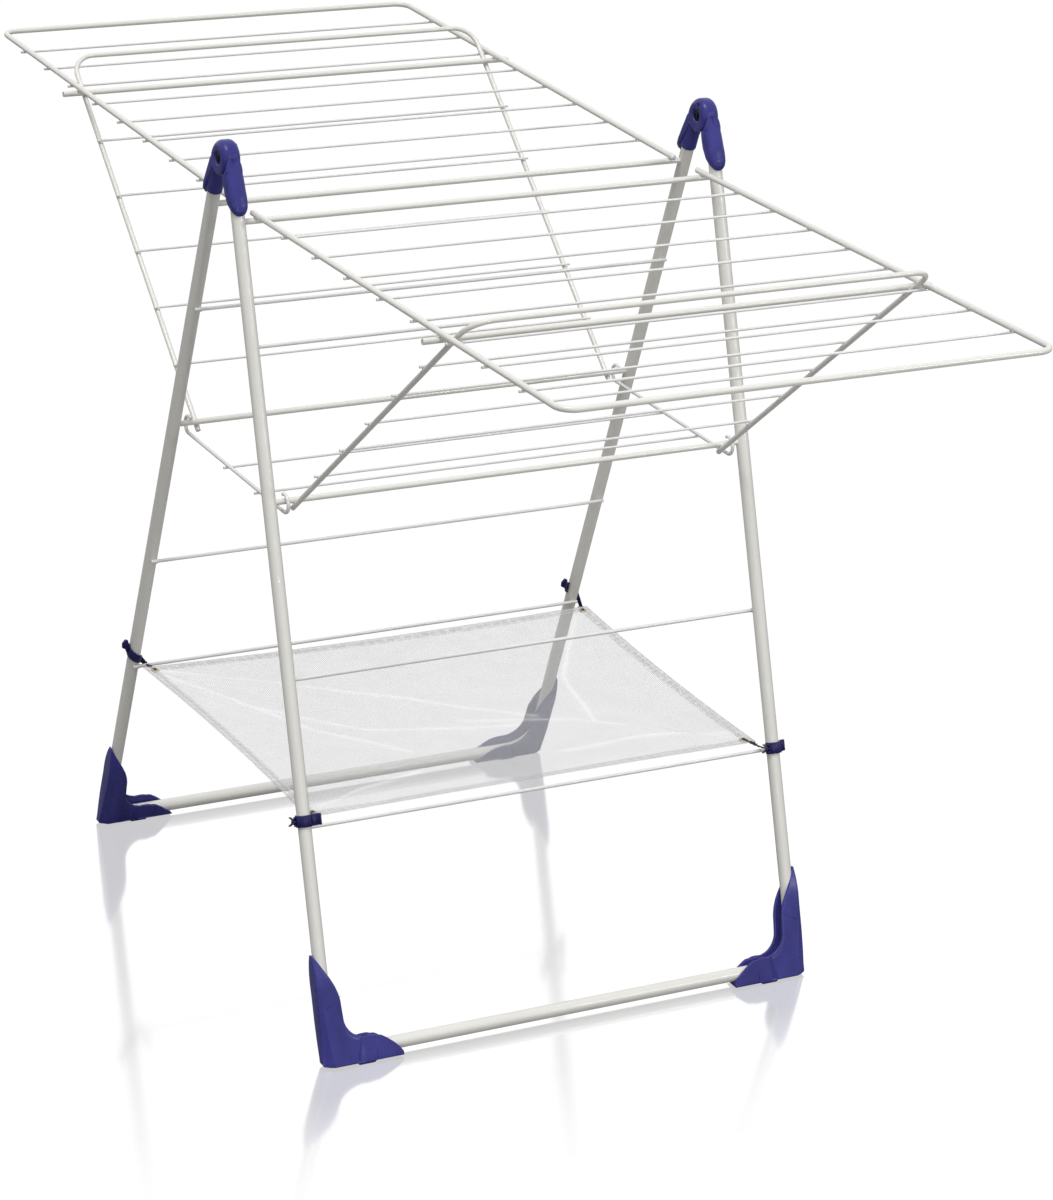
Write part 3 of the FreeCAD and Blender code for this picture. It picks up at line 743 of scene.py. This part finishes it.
def leaf(view, name):
    """The front cap's leaf: arched at its top, where it lies on the dome, and bulged like a pod."""
    rings = []
    for i in range(61):
        along = LEAF_TIP + (LEAF_TOP - LEAF_TIP) * (i / 60) ** 1.25
        outer = blendline(LEAF_OUTER, along)
        inner = blendline(LEAF_INNER, along)
        inner = min(outer - 0.5, max(inner, dome_side(along)))
        low = max(0.0, (along - 42) / 30.6)
        high = max(0.0, (32 - along) / 38.3)
        half = 12.9 * sqrt(1 - low**3.2) * sqrt(max(0.0, 1 - high**2.6))
        rings.append(view.oval(along, inner, outer, half, 2.9))
    piece = Build().loft(rings).solid(name, BLUE_PLASTIC)
    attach(piece, "front_frame")


def front_cap(hand_name, hand):
    """The tongue cap: its tongue between the rear cap's cheeks, its core inside the leaf."""
    view = HeadView(-1, hand)
    name = f"front_cap_core_{hand_name}"
    piece = dense_copy(name, f"front_cap_{hand_name}", 0.9 * MM, BLUE_PLASTIC)
    for vertex in piece.data.vertices:
        toward, up, x = view.read(vertex.co)
        across, along = off_leg(toward, up)
        if hypot(toward, up) > DOME + 0.2:
            along = min(along, 62.0)
            across, x = inside_tube(across, x)
        vertex.co = view.at(*along_leg(across, along), x)
    settle(piece, 4, 0.3)
    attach(piece, "front_frame")
    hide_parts(f"front_cap_{hand_name}")
    leaf(view, f"front_cap_leaf_{hand_name}")


def collar_lining(hand_name, hand):
    """The rear cap's inner sleeve, whose rim shows at the mouth of the arm."""
    view = HeadView(1, hand)
    path = [view.at(*along_leg(0, along), 0) for along in (18, 38, 56.5, 57.5)]
    build = Build().tube(path, mm(6.4, 10.4, 10.6, 10.0), 36)
    piece = build.make(f"rear_collar_lining_{hand_name}", BLUE_PLASTIC)
    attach(piece, "rear_frame")


def rivet(hand_name, hand):
    """The head pin's two ends: a raised ring with a dimpled centre in each recess, on a near-black disc that
    paints the shade inside the recess.
    """
    view = HeadView(1, hand)
    build = Build()
    across = Vector((1, 0, 0))
    for face in (-1, 1):
        middle = view.at(0, 0, face * 10.9)
        profile = ((0.0001, 0.9), (1.6, 0.9), (2.4, 1.5), (3.6, 1.6), (4.2, 1.1), (4.6, 0.5))
        profile += ((7.6, 0.45), (8.0, 0), (8.0, -1))
        build.lathe([mm(*stop) for stop in profile], middle, across * face)
    build.tube([view.at(0, 0, -11), view.at(0, 0, 11)], 4 * MM, 24)
    # a small square window above each rivet, on the side toward the middle of the rack, filled by a near-black
    # plate as its painted shade
    notch_shade_plate = ((-1, 12.6, 12.35), (-6, 13.4, 12.35), (-6.4, 18.2, 11.45), (-1.4, 17.6, 11.45))
    build.plate([view.at(toward, up, -hand * off) for toward, up, off in notch_shade_plate], 1.2 * MM)
    piece = build.solid(f"head_rivet_{hand_name}", RIVET_AND_RECESS_SHADE)
    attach(piece, "rear_frame")
    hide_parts(f"head_pin_{hand_name}")


for hand_name, hand in HANDS.items():
    for name, side in SIDES.items():
        shoe(name, side, hand_name, hand)
    for part in (rear_cap, rear_arm, front_cap, cap_skirt, collar_lining, rivet):
        part(hand_name, hand)

# -------- welds and rail ends

UPPER_RAIL = 4.0 * MM
LOWER_RAIL = 3.5 * MM
UPPER_WIRES = 8


def wire_middles(node):
    """The (y, z) middle of every separate wire in a CAD node."""
    mesh = NODES[node].data
    spots = sorted({(round(v.co.y, 3), round(v.co.z, 3)) for v in mesh.vertices})
    groups = []
    for y, z in spots:
        near = [g for g in groups if hypot(g[0][0] - y, g[0][1] - z) < 0.006]
        if near:
            near[0].append((y, z))
        else:
            groups.append([(y, z)])
    return [(sum(y for y, _ in g) / len(g), sum(z for _, z in g) / len(g)) for g in groups]


def wing_welds(name, kind):
    """Weld beads where the wires and the pivot rod cross the rails."""
    if kind == "upper":
        radius, pivot = UPPER_RAIL, UPPER[name]
        toward = radius * 0.62
        nodes = [f"{name}_upper_wire_{number}" for number in range(1, UPPER_WIRES + 1)]
    else:
        radius, pivot = LOWER_RAIL, LOWER[name]
        toward = -radius * 0.62
        nodes = [f"{name}_lower_wires"]
    rail_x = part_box(f"{name}_{kind}_frame")[1].x - radius
    build = Build()
    for y, z in [spot for node in nodes for spot in wire_middles(node)]:
        for hand in HANDS.values():
            build.bead(Vector((hand * rail_x, y, z + toward)), mm(2.6, 2.6, 1.9))
    for hand in HANDS.values():
        seat = Vector((hand * rail_x, pivot.y, pivot.z + toward * 1.3))
        build.bead(seat, mm(3.6, 3.4, 2.2))
    piece = build.solid(f"{name}_{kind}_welds", WHITE_WIRE)
    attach(piece, f"{name}_{kind}_wing")


def brace_welds(name):
    """Weld beads where the three braces meet the legs."""
    build = Build()
    for level in ("high", "mid", "low"):
        low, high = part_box(f"{name}_brace_{level}")
        for hand in HANDS.values():
            spot = Vector((hand * (LEG_X - 4 * MM), (low.y + high.y) / 2, (low.z + high.z) / 2))
            build.bead(spot, mm(5.0, 3.0, 3.4))
    piece = build.solid(f"{name}_brace_welds", WHITE_TUBE)
    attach(piece, f"{name}_frame")


def rail_ends(name):
    """Rounded caps on the inner ends of the upper wing's rails."""
    build = Build()
    side = SIDES[name]
    low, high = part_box(f"{name}_upper_frame")
    inner_y = low.y if side > 0 else high.y
    spots = [vertex.co for vertex in NODES[f"{name}_upper_frame"].data.vertices]
    near = [spot for spot in spots if abs(spot.y - inner_y) < 1.2 * MM]
    for hand in HANDS.values():
        ring = [spot for spot in near if spot.x * hand > 0]
        middle = sum(ring, Vector()) / len(ring)
        away = Vector((0, -side, 0))
        turns = [radians(angle) for angle in (0, 20, 40, 60, 78, 89)]
        build.lathe([(UPPER_RAIL * cos(t), 3.0 * MM * sin(t)) for t in turns], middle, away, 24)
    piece = build.solid(f"{name}_rail_ends", WHITE_WIRE)
    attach(piece, f"{name}_upper_wing")


for name in SIDES:
    for kind in ("upper", "lower"):
        wing_welds(name, kind)
    brace_welds(name)
    rail_ends(name)

# -------- net shelf

NET_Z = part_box("net")[1].z
CORNERS = {
    ("rear", "left"): Vector((-0.350, 0.266, NET_Z)),
    ("rear", "right"): Vector((0.353, 0.252, NET_Z)),
    ("front", "left"): Vector((-0.337, -0.274, NET_Z)),
    ("front", "right"): Vector((0.340, -0.274, NET_Z)),
}
WIDE, DEEP = 0.69, 0.53
# how far the net's edges bow in, and how deep it sags
PULL = 0.007
SAG = 0.014
# the hem's section: distance in from the net's edge, and height off it in mm
HEM = 0.015
HEM_SECTION = ((-0.0010, -0.7), (-0.0014, 0.0), (-0.0006, 0.7), (0.004, 0.6), (HEM, 0.4))
EYELET_IN = 0.01224
# half width of a crease, in metres
CREASE_WIDE = 0.0065
# the net's long soft creases, as runs in its own width and depth
CREASES = (
    ((0.03, 0.97), (0.42, 0.66), (0.66, 0.40)),
    ((0.02, 0.94), (0.20, 0.50), (0.34, 0.30)),
    ((0.10, 0.72), (0.30, 0.47), (0.60, 0.36)),
    ((0.97, 0.05), (0.72, 0.34), (0.50, 0.45)),
    ((0.96, 0.95), (0.80, 0.60), (0.76, 0.30)),
    ((0.04, 0.05), (0.14, 0.10), (0.30, 0.16)),
    ((0.98, 0.08), (0.80, 0.16), (0.62, 0.15)),
)


def net_outline(u, v):
    """A point of the flat net; its edges bow inward between the four corners."""
    bow_u = PULL * 4 * v * (1 - v)
    bow_v = PULL * 4 * u * (1 - u)
    u += bow_u * (1 - 2 * u) / WIDE
    v += bow_v * (1 - 2 * v) / DEEP
    front = CORNERS["front", "left"].lerp(CORNERS["front", "right"], u)
    rear = CORNERS["rear", "left"].lerp(CORNERS["rear", "right"], u)
    return front.lerp(rear, v)


def crease_strength(u, v):
    """How near a point of the net is to a crease, from 0 to 1."""
    best = 0.0
    for run in CREASES:
        for a, b in zip(run, run[1:]):
            ax, ay = a[0] * WIDE, a[1] * DEEP
            bx, by = (b[0] * WIDE - ax), (b[1] * DEEP - ay)
            t = ((u * WIDE - ax) * bx + (v * DEEP - ay) * by) / (bx * bx + by * by)
            t = min(1.0, max(0.0, t))
            away = hypot(u * WIDE - ax - t * bx, v * DEEP - ay - t * by)
            best = max(best, 1 - away / CREASE_WIDE)
    return best * best * (3 - 2 * best) if best > 0 else 0.0


def net_point(u, v):
    """A point of the hung net: it sags in the middle, and soft folds run in from the corners."""
    spot = net_outline(u, v)
    middle = 16 * u * (1 - u) * v * (1 - v)
    sag = SAG * middle**0.8 if middle > 0 else 0.0
    # the hems hang a little between their corners too
    sag += 0.002 * (4 * u * (1 - u)) * (1 - min(1.0, middle * 2))
    fold = 0.0
    for corner_u, corner_v, tilt in ((0, 0, 0.9), (1, 0, 1.15), (0, 1, 1.1), (1, 1, 0.85)):
        du, dv = abs(u - corner_u) * WIDE, abs(v - corner_v) * DEEP
        far = hypot(du, dv)
        swing = atan2(dv, du) - tilt * pi / 4
        fade = max(0.0, 1 - far / 0.32) * min(1.0, far / 0.04)
        fold += 0.0030 * fade * (cos(swing * 12) + 0.6 * cos(swing * 23 + 1.3 * tilt))
    ripple = 0.0016 * noise.noise(Vector((u * 8, v * 7, 0.3))) * min(1.0, middle * 3)
    edge = min(1.0, middle * 6)
    spot.z -= sag + fold * edge - ripple - 0.0016 * crease_strength(u, v) * edge
    return spot


def net_mesh():
    """The knitted net itself, one surface from hem to hem."""
    columns, rows = 150, 115
    places = [[(i / columns, j / rows) for i in range(columns + 1)] for j in range(rows + 1)]
    build = Build().loft([[net_point(*at) for at in row] for row in places], False, False)
    flat = [at for row in places for at in row]
    cloth = build.make("net_cloth", NET_MESH, [(u * WIDE, v * DEEP) for u, v in flat])
    # the crease strength: it thickens the threads and paints a highlight along the folds
    layer = cloth.data.attributes.new("crease", "FLOAT", "POINT")
    layer.data.foreach_set("value", [crease_strength(u, v) for u, v in flat])
    return cloth


def hem_strip(build, uv, start, end, inward, rise):
    """The folded hem along one edge, laid on the net's face and rolled over the cut edge."""
    rings = []
    for k in range(91):
        t = k / 90
        edge = Vector(start).lerp(Vector(end), t)
        ring = []
        for across, lift in HEM_SECTION:
            spot = edge + Vector((inward[0] * across / WIDE, inward[1] * across / DEEP))
            point = net_point(min(1, max(0, spot.x)), min(1, max(0, spot.y)))
            if across < 0:
                outward = net_point(*(edge + Vector(inward) * 0.01)) - net_point(*edge)
                point += outward.normalized() * across
            point.z += lift * MM * rise
            ring.append(point)
            uv.append((t * ((end[0] - start[0]) * WIDE + (end[1] - start[1]) * DEEP), across))
        rings.append(ring)
    build.loft(rings, closed=False, caps=False)


def net_hems():
    build, uv = Build(), []
    for far in (0, 1):
        hem_strip(build, uv, (0, far), (1, far), (0, 1 - 2 * far), 1.0)
    for far in (0, 1):
        hem_strip(build, uv, (far, 0), (far, 1), (1 - 2 * far, 0), 1.25)
    return build.make("net_hem", NET_HEM, uv)


def net_shelf():
    cloth, hem = net_mesh(), net_hems()
    for piece in (cloth, hem):
        # the polished floor shows no image of the pale net
        piece.visible_glossy = False
        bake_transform(piece)
    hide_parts("net")


# -------- clips and ties on the legs

# each clip's height, and where a front clip holds its cord
CLIP_Z = {("rear", -1): 0.310, ("rear", 1): 0.306, ("front", -1): 0.308, ("front", 1): 0.300}
CATCH = (-13.0, -2.4, 0)


class ClipPlace:
    """Round a leg at its clip: an angle is 0 toward +X and 90 to the front; high is up the leg."""

    def __init__(self, name, hand):
        side, height = SIDES[name], CLIP_Z[name, hand]
        self.middle = Vector((hand * LEG_X, side * leg_y(height), height))
        self.up = Vector((0, -side * sin(LEAN), cos(LEAN)))
        self.right = Vector((1, 0, 0))
        self.ahead = self.right.cross(self.up)
        # the front right band is turned a little back round its leg
        if name == "front" and hand > 0:
            turn = radians(36)
            right, ahead = self.right, self.ahead
            self.right = right * cos(turn) - ahead * sin(turn)
            self.ahead = ahead * cos(turn) + right * sin(turn)

    def at(self, right, ahead, high):
        return self.middle + (self.right * right + self.ahead * ahead + self.up * high) * MM

    def round(self, radius, angle, high):
        return self.at(radius * cos(radians(angle)), radius * sin(radians(angle)), high)


def strap(build, up, path, widths, thick):
    """A strap along (place, outward direction) stations, with a width up the leg at each."""
    section = [(-1, -0.6), (-0.92, -1), (0.92, -1), (1, -0.6)]
    section += [(-high, -proud) for high, proud in section]
    rings = []
    for (place, out), width in zip(path, widths):
        ring = []
        for high, proud in section:
            ring.append(place + (out * proud * thick + up * high * width) / 2 * MM)
        rings.append(ring)
    build.loft(rings)


def wave_path(place, stops):
    """Strap stations through (right, ahead) stops round a leg, with their outward directions."""
    stations = []
    for i, (right, ahead) in enumerate(stops):
        before, after = stops[max(i - 1, 0)], stops[min(i + 1, len(stops) - 1)]
        out = place.right * (after[1] - before[1]) - place.ahead * (after[0] - before[0])
        stations.append((place.at(right, ahead, 0.0), out.normalized()))
    return stations


def front_clip(hand_name, hand):
    """A band snapped round the front of the leg, with a flared and ribbed grip on its right."""
    place = ClipPlace("front", hand)
    build = Build()
    stops = [(10.4 * cos(radians(a)), 10.4 * sin(radians(a))) for a in range(215, 34, -9)]
    stops += [(12.4, 5.6), (14.0, 6.4), (15.6, 6.2), (16.8, 5.2)]
    stops += [(18.0, 5.0), (19.2, 6.0), (20.0, 7.6)]
    path = wave_path(place, stops)
    strap(build, place.up, path, [15.6] * len(path), 2.2)
    # raised ribs: up the band's front, at the grip's bend, at its lip, and on the band's left
    ribs = ((2.2, 11.3, 0.8), (14.4, 7.6, 1.1), (20.2, 8.0, 1.5), (-10.2, 4.4, 0.9))
    for right, ahead, thick in ribs:
        line = [place.at(right, ahead, high) for high in (-7.9, -7.4, 7.4, 7.9)]
        build.tube(line, mm(thick * 0.4, thick, thick, thick * 0.4), 10)
    # the toothed catch on the left, which holds the cord
    for high in (-5.0, 0.0, 5.0):
        stops = ((-10.6, -1.0, high), (-13.2, 0.2, high + 0.5), (-14.4, 1.6, high - 0.6))
        build.tube([place.at(*stop) for stop in stops], mm(1.7, 1.5, 0.9), 10)
    build.ring(place.at(*CATCH), place.ahead, 3.1 * MM, 1.0 * MM)
    finish_clip(build, "front", hand_name)


def rear_tail(place, hand):
    """The rear strap's free tongue below the leg, ending where the cord is tied."""
    start = place.round(10.8, -8 if hand < 0 else 8, -10)
    step = Vector((0.62, 0.5, -0.62)) if hand < 0 else Vector((0.42, 0.25, -0.95))
    long = 11.0 if hand < 0 else 20.0
    return [start + place.at(*(step * (long * k / 4))) - place.middle for k in range(5)]


def rear_clip(hand_name, hand):
    """A strap wound half round the leg, with a diamond finger tab above and a tongue below."""
    place = ClipPlace("rear", hand)
    build = Build()
    # the left strap crosses the leg's front, the right one its back
    turn = 1 if hand < 0 else -1
    path, widths = [], []
    for i in range(25):
        t = i / 24
        angle = turn * (188 - 196 * t)
        out = place.right * cos(radians(angle)) + place.ahead * sin(radians(angle))
        path.append((place.round(10.6, angle, 12 - 22 * t), out))
        widths.append(19.0 - 8.0 * t)
    for k, spot in enumerate(rear_tail(place, hand)[1:]):
        path.append((spot, path[24][1]))
        widths.append(10.0 - k)
    strap(build, place.up, path, widths, 2.3)
    tab = [(-9.6, 9), (-13.6, 13), (-13.2, 17), (-18.6, 21), (-19.4, 28)]
    tab += [(-15.8, 35), (-11.2, 33), (-9.6, 26), (-10.8, 18), (-10.2, 14)]
    out, drop = (2.5, 4.0) if hand < 0 else (4.5, 5.0)
    corners = []
    for right, high in tab:
        corners.append(place.at(right - out * min(1, (high - 9) / 12), 1.0, high - drop))
    build.plate(corners, 3.6 * MM)
    grip = [place.at(-14.8 - out, 3.2, high - drop) for high in (21, 22, 31, 32)]
    build.tube(grip, mm(0.3, 1.0, 1.0, 0.3), 8)
    build.ring(path[-1][0], place.ahead, 2.6 * MM, 1.0 * MM)
    finish_clip(build, "rear", hand_name)


def finish_clip(build, name, hand_name):
    piece = build.solid(f"{name}_clip_body_{hand_name}", NAVY_PLASTIC)
    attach(piece, f"{name}_frame")
    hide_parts(f"{name}_clip_{hand_name}")


# the cord's own sag, and how far above the eyelet's middle it ends
CORD_RISE = 2.2 * MM


def tie_start(name, hand):
    """Where the cord leaves the clip."""
    place = ClipPlace(name, hand)
    if name == "front":
        return place.at(*CATCH)
    return rear_tail(place, hand)[-1]


def doubled_cord(name, hand_name, start, end):
    """A doubled cord from the clip to the eyelet in the net's corner, knotted at both ends."""
    build = Build()
    for twist in (0.0, pi):
        path = []
        for k in range(17):
            t = k / 16
            turn = 6 * t * pi + twist
            wind = Vector((cos(turn), 0.6 * sin(turn), 0.5)) * MM
            path.append(start.lerp(end, t) - Vector((0, 0, CORD_RISE * 4 * t * (1 - t))) + wind)
        build.tube(path, 1.0 * MM, 8)
    # the knot's two loose ends
    heart = start.lerp(end, 0.55)
    for aside, rise in ((-7, 2.5), (6, -2.0)):
        steps = ((0, 0, 0), (aside * 0.5, 1.5, rise), (aside, 0.5, rise * 1.4))
        build.tube([heart + Vector(step) * MM for step in steps], mm(1.3, 1.1, 0.8), 8)
    if name == "front":
        for rise in (7.5, -5.0):
            steps = ((0, 0, 0), (-4.5, 0, rise * 0.8), (-7.5, 0, rise))
            build.tube([start + Vector(step) * MM for step in steps], mm(1.8, 1.5, 0.9), 8)
    build.bead(heart, mm(2.4, 2.0, 2.2))
    build.bead(start, mm(2.0, 2.0, 2.2))
    build.bead(end, mm(2.2, 2.2, 1.2))
    return build.make(f"{name}_tie_{hand_name}", TIE_CORD)


def eyelet(name, hand_name, centre):
    """The rolled brass ring in the net's corner."""
    lower = ((2.7, -1.0), (3.1, -1.3), (5.4, -1.1), (5.7, -0.7))
    flange = lower + tuple((r, -h) for r, h in reversed(lower)) + lower[:1]
    build = Build().lathe([mm(*stop) for stop in flange], centre, Vector((0, 0, 1)), 32)
    return build.make(f"{name}_eyelet_{hand_name}", BRASS)


def tie(name, side, hand_name, hand):
    inward = Vector((-hand, -side, 0)) * EYELET_IN
    centre = CORNERS[name, hand_name] + inward - Vector(mm(0, 0, 0.6))
    end = centre + Vector((0, 0, CORD_RISE))
    cord = doubled_cord(name, hand_name, tie_start(name, hand), end)
    ring = eyelet(name, hand_name, centre)
    for piece in (cord, ring):
        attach(piece, f"{name}_frame")
    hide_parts(f"{name}_net_tie_{hand_name}")


for hand_name, hand in HANDS.items():
    for name, side in SIDES.items():
        if name == "front":
            front_clip(hand_name, hand)
        else:
            rear_clip(hand_name, hand)
        tie(name, side, hand_name, hand)
net_shelf()

# -------- floor, light and camera


def make_floor():
    """A glossy white floor that throws little light back, so the tubes keep their shading."""
    bpy.ops.mesh.primitive_plane_add(size=80, location=(0, 0, -0.0004))
    floor = bpy.context.object
    floor.name = "floor"
    n = Nodes(bpy.data.materials.new("floor_gloss"))
    n.tree.nodes.remove(n.tree.nodes["Principled BSDF"])
    # the polish fades away from the rack, so only its feet and lower legs are mirrored
    parts = n.add("ShaderNodeSeparateXYZ", {"Vector": n.place})
    near_y = n.spread(n.math("ABSOLUTE", parts.outputs["Y"]), 0.48, 0.80, 1.0, 0.0)
    near_x = n.spread(n.math("ABSOLUTE", parts.outputs["X"]), 0.50, 0.80, 1.0, 0.0)
    near = n.math("MULTIPLY", near_y, near_x)
    base = n.mix(near, (1.02, 1.02, 1.02, 1), (0.58, 0.58, 0.58, 1))
    glow = n.add("ShaderNodeEmission", {"Color": base}).outputs["Emission"]
    gloss = n.mix(near, (0.0, 0.0, 0.0, 1), (0.47, 0.46, 0.475, 1))
    mirror = n.add("ShaderNodeBsdfGlossy", {"Color": gloss, "Roughness": 0.11})
    seen = n.add("ShaderNodeAddShader", {0: glow, 1: mirror.outputs["BSDF"]})
    grey = n.mix(n.varied(1.2, 0.0, 1.0), (0.24, 0.24, 0.235, 1), (0.26, 0.26, 0.255, 1))
    paper = n.add("ShaderNodeBsdfDiffuse", {"Color": grey}).outputs["BSDF"]
    ray = n.add("ShaderNodeLightPath").outputs["Is Camera Ray"]
    both = n.choose(ray, paper, seen.outputs["Shader"])
    n.feed(n.tree.nodes["Material Output"].inputs["Surface"], both)
    floor.data.materials.append(n.owner)


def make_light(name, kind, place, aim, energy, **settings):
    data = bpy.data.lights.new(name, kind)
    data.energy = energy
    for key, value in settings.items():
        setattr(data, key, value)
    lamp = new_object(name, data)
    lamp.location = place
    lamp.rotation_euler = (Vector(aim) - Vector(place)).to_track_quat("-Z", "Y").to_euler()


def make_world():
    """White studio walls as seen and mirrored, with a dimmer, top-heavy fill on the rack itself."""
    n = Nodes(bpy.data.worlds.new("studio"))
    bpy.context.scene.world = n.owner
    parts = n.add("ShaderNodeSeparateXYZ", {"Vector": n.coordinates["Generated"]})
    ramp = n.add("ShaderNodeValToRGB", {"Fac": parts.outputs["Z"]})
    low, high = ramp.color_ramp.elements
    low.position, low.color = 0.0, (0.20, 0.20, 0.19, 1)
    high.position, high.color = 0.9, (0.70, 0.70, 0.72, 1)
    fill = n.tree.nodes["Background"]
    n.feed(fill.inputs["Color"], ramp.outputs["Color"])
    walls = n.add("ShaderNodeBackground", {"Color": (1, 1, 1, 1), "Strength": 1.0})
    ray = n.add("ShaderNodeLightPath").outputs["Is Diffuse Ray"]
    both = n.choose(ray, walls.outputs["Background"], fill.outputs["Background"])
    n.feed(n.tree.nodes["World Output"].inputs["Surface"], both)


def make_camera():
    data = bpy.data.cameras.new("camera")
    data.sensor_fit = "HORIZONTAL"
    data.sensor_width = 36
    data.lens = 135.3
    data.clip_end = 60
    camera = new_object("camera", data)
    camera.location = (-2.3107, -4.5417, 2.5042)
    camera.rotation_euler = Euler((radians(68.123), radians(-2.686), radians(-27.048)))
    bpy.context.scene.camera = camera


make_floor()
make_world()
make_light("overhead", "SUN", (0, 0, 0), (0.25, 0.2, -1), 1.45, angle=radians(30))
make_light("key", "AREA", (2.4, -4.0, 2.2), (0, 0, 0.6), 30, shape="DISK", size=0.9)
# a tall narrow lamp that draws the long highlight down the legs
STRIP = {"shape": "RECTANGLE", "size": 0.10, "size_y": 3.0}
make_light("strip", "AREA", (-0.5, -4.6, 1.3), (0, 0, 0.6), 26, **STRIP)
make_light("spark", "AREA", (-0.9, -0.5, 3.4), (0, 0, 1.0), 9, shape="DISK", size=0.3)
make_camera()
bpy.context.scene.view_settings.view_transform = "Standard"
